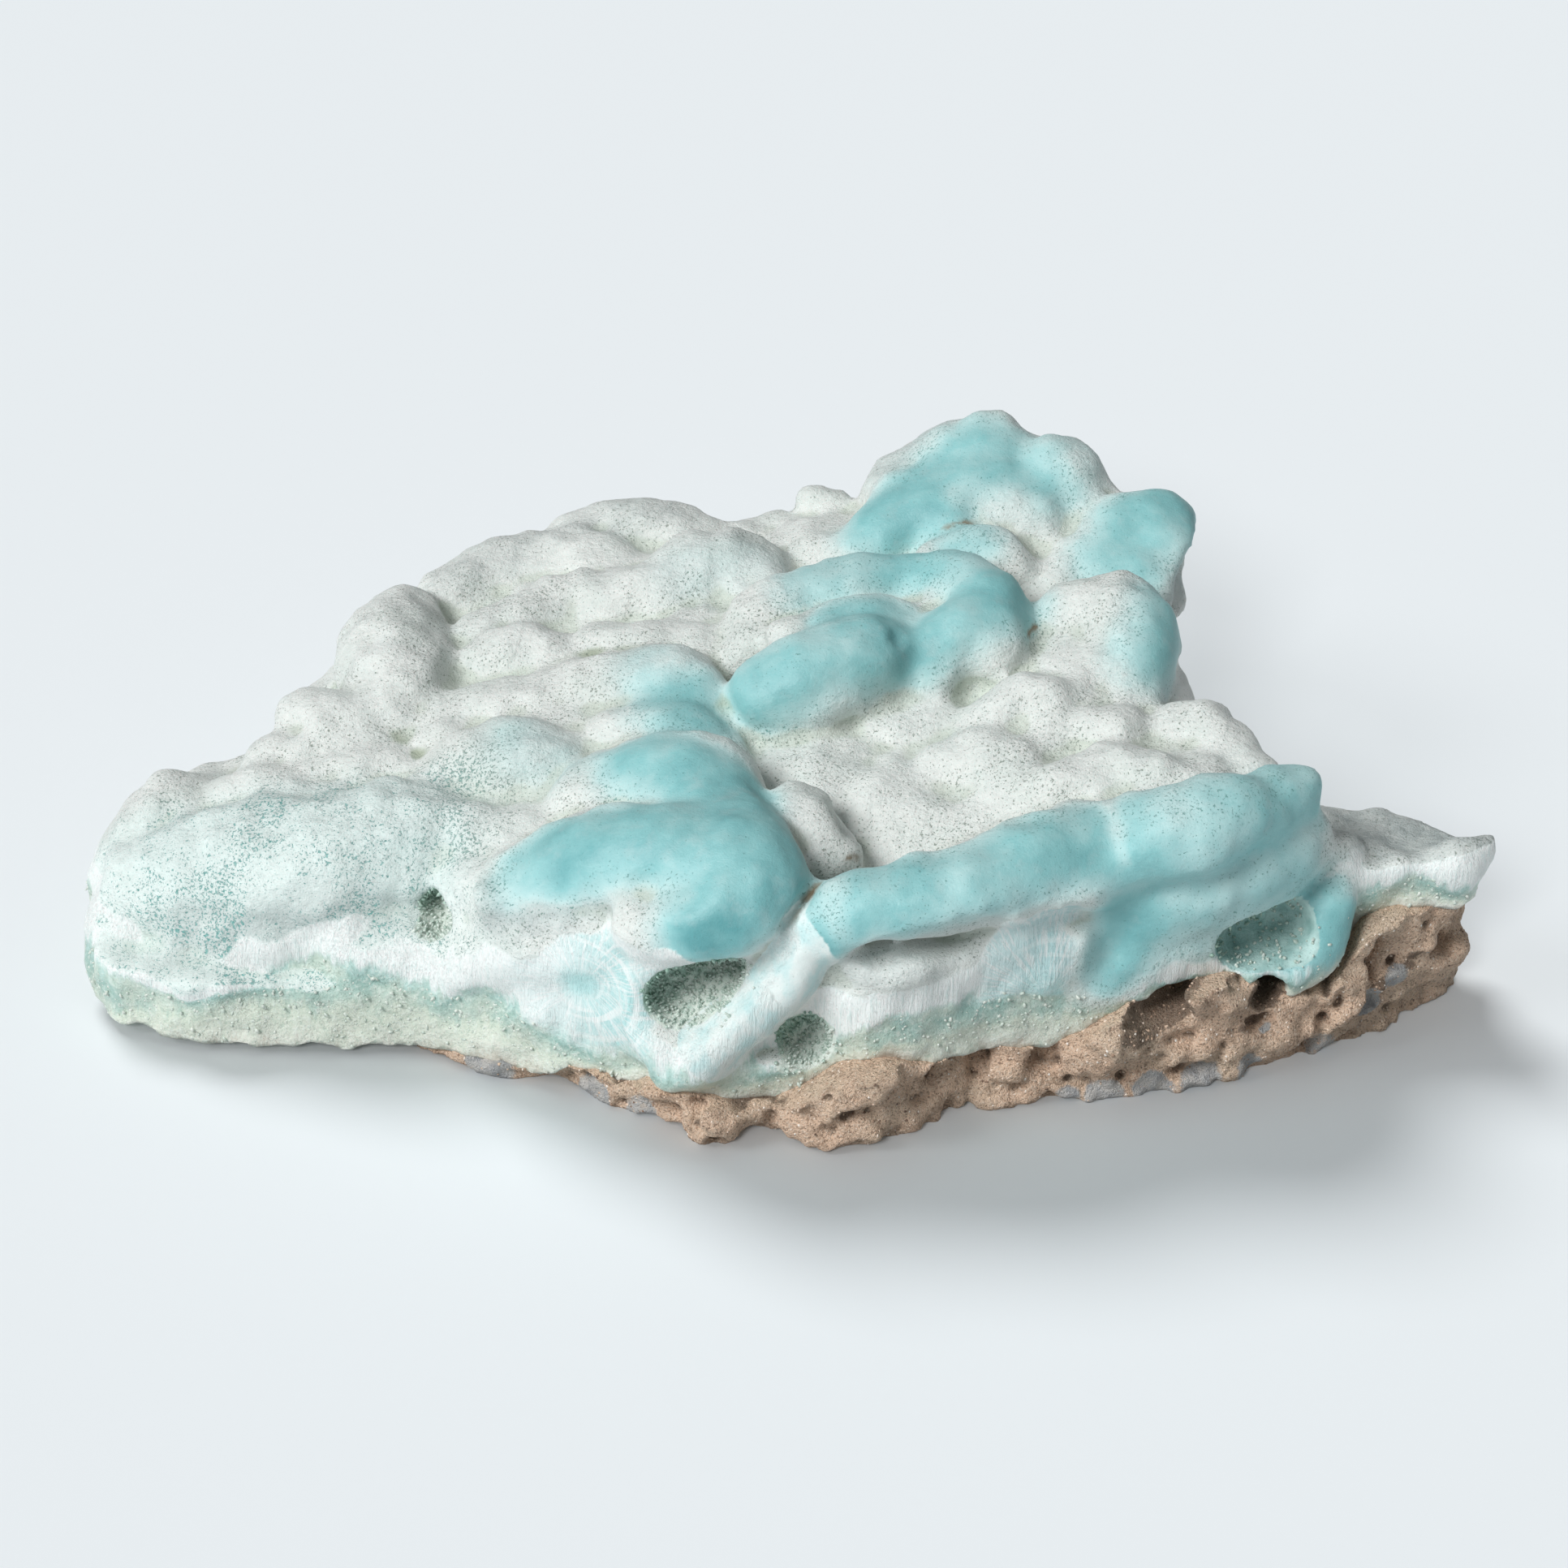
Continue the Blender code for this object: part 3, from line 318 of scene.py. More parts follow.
ROCK_OUTLINE = [
    (-56, -10), (-50, -15), (-42, -19.5), (-37, -25), (-29, -29), (-22, -30.5), (-17, -33.5), (-12, -37),
    (-8, -40), (-3, -38.5), (1, -39.8), (6, -40.5), (9.5, -40.8), (13, -37.5), (18, -33.5), (22, -33.8),
    (27, -31.5), (32, -33), (38, -30.5), (45, -29), (51, -25.5), (57, -23.5), (62.5, -19.5), (67, -17.5),
    (71, -14), (71.5, -9), (66, -5), (55, 0), (46, 5), (42, 17), (43, 30), (34, 39), (22, 45), (8, 43),
    (-8, 39), (-26, 36), (-41, 24), (-50, 9), (-57, -3),
]
ROCK_TOP = 18.0
ROCK_BOTTOM = -0.4

# Fans of fibres: x and z of the middle, reach, how blue the middle is, half
# width, and the colours of their pale and blue rings.
FANS = [
    (-20.5, 14.7, 9.5, 0.75, 12.0, (0.80, 0.91, 0.90), (0.42, 0.74, 0.74)),
    (26.3, 13.0, 16.0, 0.3, 6.5, (0.66, 0.85, 0.85), (0.28, 0.63, 0.65)),
]

# Blue patches of the skin: radius, amount, and a line of points (x, y, z).
PATCHES = {
    "sausage": (5.2, 0.8, [(-2, -0.5, 32), (3, 0.5, 34), (9.5, 3.5, 34.5)]),
    "heart_east": (4.6, 0.9, [(13.5, 6, 32.5), (19.5, 9.5, 35), (23.5, 11.5, 34.5)]),
    "heart_rim": (3.8, 0.7, [(14.5, 20.5, 33.5), (20.5, 17.5, 35.5), (24, 13.5, 35)]),
    "heart_west": (4.2, 0.7, [(3, 17.5, 33), (7, 19.5, 33.4), (10, 20.5, 33.5)]),
    "behind_sausage": (3, 0.75, [(5.5, 9, 33.5), (10.5, 11, 33.5)]),
    "mound_west": (4, 0.35, [(13.5, 42, 34), (17, 44, 35.5)]),
    "mound": (6.2, 0.85, [(19.5, 40, 36.5), (24, 38, 37), (28.5, 37.5, 36.5)]),
    "mound_foot": (5, 0.95, [(10.5, 32, 33), (14, 33.5, 34), (18, 33, 34.5)]),
    "little_knob": (3, 0.55, [(19, 25.5, 33), (22, 26, 33.5)]),
    "far_east_lobe": (5.2, 0.9, [(37, 25, 32), (40, 29, 34), (42.5, 31, 34)]),
    "east_lobe": (4.2, 0.7, [(38.5, 4, 31.5), (40.5, 8, 33), (41, 12.5, 33)]),
    "ridge_end": (4.2, 0.38, [(-14, 5, 30), (-11, 3, 30)]),
    "teal_step": (4.5, 0.75, [(-12, -1, 29), (-9.5, -4.5, 29)]),
    "teal_dome": (5.4, 0.95, [(-14, -13, 30.5), (-9.5, -16.5, 31), (-6.5, -20.5, 30.5)]),
    "front_teal": (5.2, 0.9, [(-22, -25.5, 27), (-16, -26.5, 30), (-9.5, -29, 31), (-4, -30, 31.5)]),
    "front_teal_west": (3.4, 0.6, [(-27, -25.5, 23.5), (-24, -26.5, 26)]),
    "nose": (5, 0.9, [(-0.5, -30.5, 31), (-3.5, -35, 29.5), (-7.5, -37.5, 26.5)]),
    "front_ridge": (4.6, 0.82, [(6.5, -35.5, 28), (14.5, -34.5, 29.5), (23, -31.5, 30.5), (30, -28.5, 30.5)]),
    "front_ridge_east": (6, 0.62, [(36, -28, 31), (41.5, -26.5, 33), (48, -22.5, 33), (52, -19.5, 32)]),
    "teal_slope": (4.4, 0.34, [(37.5, -30.5, 24), (43, -30.5, 24.5), (48, -28, 25.5), (52, -24, 26)]),
    "narrow_hollow": (3.4, 0.6, [(33.5, -31, 15.5), (34.2, -30.4, 21)]),
    "around_teal_pocket": (6, 0.3, [(40, -29.5, 18), (48, -28, 18), (55, -23.5, 17)]),
    "pocket_foot": (3.2, 0.5, [(50, -27, 11), (54.4, -24, 13), (56.5, -22, 17)]),
    "dome_link": (4.5, 0.9, [(-6.5, -20, 30.5), (-4.6, -25, 31)]),
    "front_roll": (6, 0.12, [(-64, -12, 18.5), (-51.5, -13.5, 22), (-40.5, -13.5, 24.5), (-37.5, -16, 20.5)]),
    "grey_hump": (4, 0.3, [(-28, -4.5, 26.5), (-23, -8, 27)]),
    "back_lobe": (4, 0.18, [(-10.5, 25, 30), (-4, 26, 30.5)]),
    "arm_side": (2.2, 0.6, [(5.5, -36.5, 25), (2.5, -36.5, 20), (-1, -37, 16.5)]),
    "east_face": (3, 0.45, [(55.5, -21, 15.5), (57.5, -20.5, 13)]),
}

# Where the skin of the front is whole down to the pockets: radius, and a line
# of points.
WHOLE = {
    "narrow_hollow": (4.4, [(33.2, -31, 14.5), (34.2, -30.4, 21)]),
    "around_teal_pocket": (5.4, [(37, -30, 20), (43, -29.5, 20), (50, -27.5, 17.5), (55.5, -23, 16)]),
}

# White streaks across the blue: radius, and a line of points.
CREASES = {
    "ridge_crease": (1.0, [(32.6, -24, 31), (33.2, -27.5, 30.5), (34, -29.5, 28.5)]),
    "ridge_west_end": (1.6, [(4.5, -33.5, 28.5), (5.5, -37, 25)]),
    "mound_flank": (3.4, [(12, 42, 32), (15, 44, 34.5), (19, 47, 36)]),
    "mound_shoulder": (2.6, [(29.5, 40.5, 36.5), (33, 37.5, 35.5)]),
    "mound_gap": (2.2, [(20, 33.5, 34), (25, 32, 33.5)]),
}

# Grey skin, partly the skin's own finely pored grey and partly painted shade under lobes, in recesses and on
# tops turned from the light: radius, amount, and a line of points.
GREYS_AND_PAINTED_SHADE = {
    "recess": (3.6, 0.4, [(4.5, -36.5, 20), (13, -37, 21), (20, -35.5, 22.5)]),
    "below_front_teal": (2.4, 0.6, [(-28.5, -27, 19.5), (-23, -29, 22), (-18, -30, 23.5)]),
    "below_roll": (3.0, 0.5, [(-63, -19, 11), (-50, -20, 14), (-42, -19.5, 15)]),
    "under_far_lobe": (3.4, 0.9, [(42.6, 23.5, 28.4), (43.6, 27, 29.5)]),
    "ledge_top": (5.0, 0.9, [(59, -12, 20), (66, -12, 20), (71, -13, 20)]),
    "back_rim": (3.0, 0.35, [(-37, 32, 26), (-24, 40, 28), (-12, 41, 28.5)]),
    "mound_back": (3.0, 0.3, [(12, 44, 33), (20, 46.5, 35)]),
}

# Brown dirt in the crevices, and painted shade in the mouth of the hole: radius, and a line of points.
DIRT_AND_HOLE_SHADE = {
    "under_mound_foot": (0.4, [(18, 29.6, 32.5), (21, 30.2, 33)]),
    "under_mound": (0.35, [(24, 29.2, 31.8), (27, 29.8, 31)]),
    "beside_heart": (0.35, [(26, 9, 31), (27, 11, 31)]),
    "brown_mark": (0.35, [(23.4, -3.6, 31), (24.6, -3.2, 31.2), (25.6, -3.4, 31)]),
    "valley": (0.4, [(6.5, -24.5, 25), (8, -23.5, 24.5)]),
    "nose_cleft": (0.45, [(3.5, -31.5, 26.5), (1.6, -34.2, 26), (0, -36, 24)]),
    "hole_mouth": (1.6, [(49.5, -26, 9.4), (49.6, -20, 9.6)]),
}
# Olive green in the deepest hollows.
OLIVE = {
    "west_pit": (1.6, [(-42, 1.5, 22.5), (-39, -1, 22.5)]),
    "middle_pit": (1.4, [(-22, 12.5, 27), (-17.5, 12, 27)]),
    "sausage_pit": (1.8, [(-7.5, 2.5, 28.5), (-6, 0.5, 28.5)]),
    "valley_pit": (2.0, [(5, -24, 25), (9, -22, 25)]),
    "east_spot": (0.5, [(34, 2, 31), (35, 2, 31)]),
}

# How much painted shade darkens the lining of each pocket, and its crystals, to dark green.
POCKET_PAINTED_SHADES = {"druse_pocket": 1.0, "dark_pocket": 0.9, "teal_pocket": 1.0, "notch_pocket": 0.9}

# Grids on which the cutters of hollows, pockets and clefts are made, and on
# which the slab of rock is first rounded.
HOLLOW_GRID, POCKET_GRID, CLEFT_GRID, SLAB_GRID = 0.7, 0.5, 0.35, 1.0
# Segments and rings of the balls that a ridge and a hollow are made of.
RIDGE_BALL, HOLLOW_BALL = (24, 14), (16, 10)
# Lumps of the crust's growth and of the rock's breakage: size and height.
GROWTH = {"broad growth": (9, 1.4), "fine growth": (4, 0.8)}
BREAKAGE = {"broad breakage": (7, 4), "fine breakage": (3, 1.8)}
# The sheet of the contact: its squares, half its lengths and its middle.
SHEET_SQUARES = (164, 116)
SHEET_HALF = (82, 58, 1)
SHEET_MIDDLE = (0, 8, 0)

# White lime on the rock: (x, y, z, radius, amount).
LIME = [
    (-31, -29, 1, 4, 0.9), (-20, -32, 0.5, 3, 0.8), (-15, -35, 0.5, 3, 0.6), (29, -33, 0.3, 2.4, 0.7),
    (33, -32.5, 0.5, 3, 0.8), (38, -31.5, 0.6, 3, 0.8), (43, -30, 1, 3, 0.7), (48, -28, 1.2, 2.4, 0.6),
    (56, -24, 1, 2.6, 0.6), (61, -21, 4.5, 2.4, 0.7), (64, -19.5, 6.5, 2.2, 0.6), (49.5, -27, 6, 1.2, 0.8),
    (51.8, -26.5, 8.8, 1.2, 0.8), (68, -16.5, 9, 2, 0.5),
]

# Sand grains: smallest and largest radius, and how much their sides differ.
GRAIN_SIZES = (0.08, 0.2)
GRAIN_STRETCH = (0.7, 1.3)
GRAIN_SEED = 71
CRYSTAL_SEED = 61

# Small crystals: how many, lengths, widths and how much they lean.
CRYSTAL_SIZES = {
    "pocket_crystals": (1600, (0.4, 1.1), (0.2, 0.45), 0.3),
    "band_crystals": (1600, (0.3, 0.7), (0.15, 0.4), 0.9),
}
# The share of their length that is sunk in the crust.
SINK = {"pocket_crystals": 0.45, "band_crystals": 0.86}
# Their colours from darkest to lightest, share of light let through and roughness.
CRYSTALS = {
    "pocket_crystals": ((0.34, 0.52, 0.43), (0.88, 0.95, 0.89), 0.25, 0.25),
    "band_crystals": ((0.56, 0.69, 0.61), (0.88, 0.93, 0.86), 0.25, 0.3),
}

# Lights from far away: the way to them, strength and spread in degrees. The
# key falls on the specimen, the others on the floor alone.
LIGHTS = {
    "key": ((-0.54, -0.46, 0.71), 3.0, 28),
    "floor_back": ((-0.36, 0.55, 0.74), 2.0, 26),
    "floor_left": ((-0.65, -0.15, 0.55), 0.4, 20),
    "floor_front": ((-0.22, -0.62, 0.50), 0.92, 16),
}
# Strength of the soft light from all around.
ROOM_LIGHT = 0.2
# Length of the camera's lens and height of the point that it looks at.
LENS = 100
MIDDLE_HEIGHT = 18

# The step from ball to ball along a crest, as a share of the radius.
BALL_STEP = 0.4


# Points and noise.


def crest_points(points):
    """Points and radii along a smooth line through a ridge's crest."""
    found = []
    rows = [Vector(p) for p in points]
    ends = [2 * rows[0] - rows[1], *rows, 2 * rows[-1] - rows[-2]]
    for i in range(1, len(ends) - 2):
        before, start, end, after = ends[i - 1 : i + 3]
        steps = max(1, math.ceil((end - start).to_3d().length / (BALL_STEP * start.w)))
        for k in range(steps):
            t = k / steps
            square = (2 * before - 5 * start + 4 * end - after) * t**2
            cube = (3 * start - before - 3 * end + after) * t**3
            found.append(0.5 * (2 * start + (end - before) * t + square + cube))
    found.append(rows[-1])
    return found


def ridge_balls(flat, crest):
    """The balls of a ridge as rows (x, y, z of the middle, radius, flatness)."""
    return [(x, y, top - radius * flat, radius, flat) for x, y, top, radius in crest_points(crest)]


def hollow_balls(hollows):
    return [(*row, 1.0) for line in hollows.values() for row in crest_points(line)]


def smooth_noise(points, size, seed):
    """Smooth noise from -1 to 1 at each point, for lumps of one size or a size for each axis."""
    scaled = points / size + seed * 13.7
    cell = np.floor(scaled).astype(np.int64)
    within = scaled - cell
    within = within * within * within * (within * (within * 6 - 15) + 10)
    total = np.zeros(len(points))
    for corner in np.ndindex(2, 2, 2):
        weight = np.prod(np.where(corner, within, 1 - within), axis=1)
        x, y, z = (cell + corner).T
        mixed = (x * 73856093) ^ (y * 19349663) ^ (z * 83492791) ^ (seed * 2654435)
        mixed = (mixed ^ (mixed >> 13)) * 1274126177
        mixed = (mixed ^ (mixed >> 16)) & 0xFFFFFF
        total += weight * (mixed / 0x7FFFFF - 1)
    return total


def step_between(low, high, values):
    """0 below low, 1 above high and a smooth step between them."""
    t = np.clip((values - low) / (high - low), 0, 1)
    return t * t * (3 - 2 * t)


def nearness(points, balls, near, far):
    """1 within near radii of one of the balls, 0 past far radii of all of them."""
    best = np.full(len(points), 1e9)
    for x, y, z, radius, _ in balls:
        away = np.linalg.norm(points - (x, y, z), axis=1) / radius
        best = np.minimum(best, away)
    return 1 - step_between(near, far, best)


def contact_height(x, y):
    """Height of the contact between aragonite and rock."""
    rows = np.array(FRONT_CONTACT)
    front_y, front = np.interp(x, rows[:, 0], rows[:, 1]), np.interp(x, rows[:, 0], rows[:, 2])
    t = min(1.0, max(0.0, (y - front_y) / CONTACT_BLEND))
    t = t * t * (3 - 2 * t)
    waves = 1.2 * noise.noise(Vector((x / 9, y / 9, 4.0)))
    inner = INNER_CONTACT + 2.0 * noise.noise(Vector((x / 22, y / 22, 9.0)))
    return max(1.0, front + (inner - front) * t + waves * min(1.0, front / 5))


# Modelling steps.


def pick(*items):
    """Select these objects and nothing else, the first one active."""
    bpy.ops.object.select_all(action="DESELECT")
    for item in items:
        item.select_set(True)
    bpy.context.view_layer.objects.active = items[0]


def added(name):
    """The object that the last primitive or join left active, under its new name."""
    item = bpy.context.active_object
    item.name = item.data.name = name
    return item


def primitive(add, name, **shape):
    """A new primitive under its own name, with nothing else selected."""
    bpy.ops.object.select_all(action="DESELECT")
    add(**shape)
    return added(name)


def apply_modifiers(item):
    pick(item)
    for modifier in list(item.modifiers):
        bpy.ops.object.modifier_apply(modifier=modifier.name)


def remove(*items):
    for item in items:
        mesh = item.data
        bpy.data.objects.remove(item)
        bpy.data.meshes.remove(mesh)


def pull_up(item, *rises, pointed=False):
    """Extrude an open sheet upwards in steps, to a point where asked, with its faces outwards."""
    bpy.ops.object.mode_set(mode="EDIT")
    bpy.ops.mesh.select_all(action="SELECT")
    for rise in rises:
        bpy.ops.mesh.extrude_region_move(TRANSFORM_OT_translate={"value": (0, 0, rise)})
    if pointed:
        bpy.ops.mesh.merge(type="CENTER")
    bpy.ops.mesh.select_all(action="SELECT")
    bpy.ops.mesh.normals_make_consistent(inside=False)
    bpy.ops.object.mode_set(mode="OBJECT")
    return item


def block(name, outline, bottom, top):
    """A straight-sided block: a disc whose rim is moved onto the outline, then extruded."""
    disc = primitive(
        bpy.ops.mesh.primitive_circle_add, name, vertices=len(outline), radius=1, fill_type="NGON"
    )
    for vert, (x, y) in zip(disc.data.vertices, outline):
        vert.co = (x * MM, y * MM, bottom * MM)
    return pull_up(disc, (top - bottom) * MM)


def read(rows, field, width=1, kind=float):
    """A number, or a few, from each of a mesh's points, edges, faces, corners or values."""
    values = np.empty(len(rows) * width, dtype=kind)
    rows.foreach_get(field, values)
    return values if width == 1 else values.reshape(-1, width)


def face_corners(mesh):
    """The points that the faces of a mesh use, face after face."""
    return read(mesh.loops, "vertex_index", kind=np.int32)


def repeated(name, pattern, places, values=None):
    """One object made of many copies of a pattern, each at its own place, with a value for each copy."""
    points = read(pattern.vertices, "co", 3)
    corners = face_corners(pattern)
    sizes = read(pattern.polygons, "loop_total", kind=np.int32)
    spots = np.array([np.array(place) for place in places])
    moved = np.einsum("nij,mj->nmi", spots[:, :3, :3], points) + spots[:, None, :3, 3]
    count = len(spots)
    mesh = bpy.data.meshes.new(name)
    mesh.vertices.add(count * len(points))
    mesh.vertices.foreach_set("co", moved.reshape(-1))
    mesh.loops.add(count * len(corners))
    shifts = np.repeat(np.arange(count, dtype=np.int32) * len(points), len(corners))
    mesh.loops.foreach_set("vertex_index", np.tile(corners, count) + shifts)
    mesh.polygons.add(count * len(sizes))
    totals = np.tile(sizes, count)
    mesh.polygons.foreach_set("loop_start", np.concatenate(([0], np.cumsum(totals)[:-1])))
    mesh.update(calc_edges=True)
    if values is not None:
        write_value(mesh, "kind", np.repeat(values, len(points)))
    item = bpy.data.objects.new(name, mesh)
    bpy.context.scene.collection.objects.link(item)
    return item


def write_value(mesh, name, values):
    layer = mesh.attributes.new(name, "FLOAT", "POINT")
    layer.data.foreach_set("value", np.ascontiguousarray(values, dtype=np.float32))


def read_value(item, name):
    return read(item.data.attributes[name].data, "value", kind=np.float32)


def ball_places(balls):
    return [
        Matrix.Translation((x * MM, y * MM, z * MM))
        @ Matrix.Diagonal((radius * MM, radius * MM, radius * flat * MM, 1))
        for x, y, z, radius, flat in balls
    ]


def ball_mesh(segments, rings):
    return primitive(
        bpy.ops.mesh.primitive_uv_sphere_add, "ball", segments=segments, ring_count=rings, radius=1
    )


def add_remesh(item, voxel):
    remesh = item.modifiers.new("one skin", "REMESH")
    remesh.mode = "VOXEL"
    remesh.voxel_size = voxel
    remesh.use_smooth_shade = True


def add_smooth(item, rounds):
    smooth = item.modifiers.new("soft joins", "SMOOTH")
    smooth.factor = 0.5
    smooth.iterations = rounds


def add_lumps(item, lumps):
    """Uneven growth or breakage, as clouds of a few sizes in or out of the surface."""
    for name, (size, height) in lumps.items():
        clouds = bpy.data.textures.new(name, "CLOUDS")
        clouds.noise_scale = size * MM
        clouds.noise_depth = 2
        push = item.modifiers.new(name, "DISPLACE")
        push.texture = clouds
        push.texture_coords = "LOCAL"
        push.strength = height * MM
        push.mid_level = 0.5


def add_cuts(item, *cutters):
    for cutter in cutters:
        cut = item.modifiers.new("cut " + cutter.name, "BOOLEAN")
        cut.operation = "DIFFERENCE"
        cut.object = cutter


def hollow_cutter(name, hollows, grid):
    ball = ball_mesh(*HOLLOW_BALL)
    cutter = repeated(name, ball.data, ball_places(hollow_balls(hollows)))
    remove(ball)
    add_remesh(cutter, grid * MM)
    add_smooth(cutter, 2)
    apply_modifiers(cutter)
    return cutter


def contact_cutter(name, shift, far_side, ripple):
    """A block with the contact sheet, moved by shift, as one face and a flat face at far_side."""
    across, deep = SHEET_SQUARES
    sheet = primitive(
        bpy.ops.mesh.primitive_grid_add, name, x_subdivisions=across, y_subdivisions=deep, size=2
    )
    points = read(sheet.data.vertices, "co", 3) * SHEET_HALF + SHEET_MIDDLE
    heights = np.array([contact_height(x, y) for x, y, _ in points])
    coarse, fine = smooth_noise(points, 1.8, 5), smooth_noise(points, 0.9, 6)
    points[:, 2] = heights + shift + ripple * coarse + 0.6 * ripple * fine
    move_points(sheet, points)
    return pull_up(sheet, (far_side - shift) * MM)


def shape_arrays(item):
    """Points in millimetres and their normals."""
    vertices = item.data.vertices
    return read(vertices, "co", 3) / MM, read(vertices, "normal", 3)


def move_points(item, points):
    item.data.vertices.foreach_set("co", (points * MM).reshape(-1))
    item.data.update()


def neighbour_mean(mesh, values, rounds):
    """Values evened out along the edges of a mesh."""
    a, b = read(mesh.edges, "vertices", 2, np.int64).T
    count = len(mesh.vertices)
    share = np.maximum(np.bincount(a, minlength=count) + np.bincount(b, minlength=count), 1)
    for _ in range(rounds):
        totals = [
            np.bincount(a, column[b], minlength=count) + np.bincount(b, column[a], minlength=count)
            for column in values.T
        ]
        values = 0.5 * values + 0.5 * np.stack(totals, axis=1) / share[:, None]
    return values


def smooth_and_paint(item, material):
    bpy.ops.object.shade_smooth()
    item.data.materials.clear()
    item.data.materials.append(material)


# What each point of the crust is.


def line_nearness(points, radius, line, near=0.25, far=1.7):
    """1 within near radii of a line of points, 0 past far radii of it."""
    best = np.full(len(points), 1e9)
    rows = np.array(line, dtype=float)
    for start, end in zip(rows[:-1], rows[1:]):
        along = end - start
        t = np.clip((points - start) @ along / (along @ along), 0, 1)
        best = np.minimum(best, np.linalg.norm(points - start - t[:, None] * along, axis=1))
    return 1 - step_between(near * radius, far * radius, best)


def strongest(points, marks, near=0.25, far=1.7):
    """The strongest of some marks at each point. A mark without an amount is full."""
    found = np.zeros(len(points))
    for radius, *amount, line in marks.values():
        found = np.maximum(found, math.prod(amount) * line_nearness(points, radius, line, near, far))
    return found


def band_levels(points):
    """0 at the rock, 1 above the pale crystals, 2 above the glassy band and 3 above the white fibres."""
    x, y, z = points.T
    rows = np.array(FRONT_BANDS, dtype=float)
    front_y = np.interp(x, *np.array(FRONT_CONTACT)[:, :2].T)
    at_front = 1 - step_between(*FRONT_DEPTH, y - front_y)
    level = np.zeros(len(points))
    edges = [
        at_front * np.interp(x, rows[:, 0], heights) + (1 - at_front) * side
        for heights, side in zip(rows[:, 1:].T, SIDE_BANDS)
    ]
    for low, high in zip(edges[:-1], edges[1:]):
        level += np.clip((z - low) / (high - low), 0, 1)
    over = z - edges[-1]
    return level + np.clip(over / SKIN_START, 0, 1), over


def pocket_painted_shade(points):
    """Painted shade in a pocket: how much its lining and crystals darken to dark green, most at its upper left
    under the roof.
    """
    shade = np.zeros(len(points))
    for name, amount in POCKET_PAINTED_SHADES.items():
        line = np.array(POCKETS[name])
        middle, radius = line[:, :3].mean(axis=0), line[:, 3].max() * 1.4
        beside = (points - middle) / radius
        near = 1 - step_between(1.2, 1.6, np.linalg.norm(beside, axis=1))
        shade = np.maximum(shade, amount * near * step_between(-0.1, 0.7, beside @ (-0.55, 0.3, 0.8)))
    return shade


def crust_masks(crust, points, normals):
    """What each point of the crust is: how blue, with painted shade on the lobes' sides, how deep in a hollow,
    broken or in a pocket, and the grey and pocket shade painted on it.
    """
    x, y, z = points.T
    blue = np.zeros(len(points))
    for radius, amount, line in PATCHES.values():
        blue = 1 - (1 - blue) * (1 - amount * line_nearness(points, radius, line))
    for radius, line in CREASES.values():
        blue *= 1 - 0.55 * line_nearness(points, radius, line)
    # Painted highlight and shade: the blue is paler on the lobes' upward tops and deeper teal on their sides.
    facing_for_painted_shade = neighbour_mean(crust.data, normals, 6)
    blue = blue * (0.74 + 0.6 * (1 - np.clip(facing_for_painted_shade[:, 2], 0, 1)))
    band, over = band_levels(points)
    ragged = 0.9 * smooth_noise(points, 3.0, 41) + 0.5 * smooth_noise(points, 1.2, 42)
    steep = 1 - step_between(0.5, 0.85, normals[:, 2])
    broken = steep * (1 - step_between(-0.7, 0.7, over + ragged))
    for radius, line in WHOLE.values():
        broken *= 1 - line_nearness(points, radius, line)
    arm = ridge_balls(1.0, RIDGES["arm"][1][1:-1])
    rim = nearness(points, arm, 1.0, 1.16) * step_between(-0.1, 0.35, -normals[:, 1])
    pocket = nearness(points, hollow_balls(POCKETS), 1.04, 1.16) * (1 - rim)
    silk = nearness(points, arm, 1.04, 1.2) * (1 - pocket)
    # How deep in a hollow each point is: it paints shade into the skin's hollows and places the olive.
    smoothed = neighbour_mean(crust.data, points, 26)
    hollow = neighbour_mean(crust.data, ((smoothed - points) * normals).sum(axis=1)[:, None], 3)[:, 0]
    hollow = step_between(0.02, 0.4, hollow)
    west = step_between(20, 45, -x) * step_between(2, 8, -y)
    speckle = 0.75 - 0.6 * step_between(0.45, 0.8, blue) + 0.5 * west
    return {
        "blue": np.clip(blue, 0, 1),
        "band": band,
        "broken": np.clip(broken, 0, 1),
        "pocket": pocket,
        "silk": silk,
        "hollow": hollow,
        "speckle": np.clip(speckle, 0, 1),
        "dirt": strongest(points, DIRT_AND_HOLE_SHADE, 0.3, 1.6),
        "olive": strongest(points, OLIVE, 0.2, 1.5),
        "grey": strongest(points, GREYS_AND_PAINTED_SHADE),
        "shade": pocket_painted_shade(points),
        "west": west,
    }


# Crystals and grains.


def pick_places(item, weights, count, draw):
    """Random places on a mesh, as points and normals, where the weights of its points are high."""
    faces = item.data.polygons
    points, normals = shape_arrays(item)
    starts, corners = read(faces, "loop_start", kind=np.int64), face_corners(item.data)
    trio = np.stack([corners[starts], corners[starts + 1], corners[starts + 2]], axis=1)
    chance = read(faces, "area") * weights[trio].mean(axis=1)
    picked = trio[draw.choice(len(chance), size=count, p=chance / chance.sum())]
    shares = draw.dirichlet((1, 1, 1), size=count)
    spots = (points[picked] * shares[:, :, None]).sum(axis=1)
    ways = (normals[picked] * shares[:, :, None]).sum(axis=1)
    return spots, ways / np.linalg.norm(ways, axis=1)[:, None]


def upright_turn(way):
    return way.to_track_quat("Z", "Y").to_matrix().to_4x4()


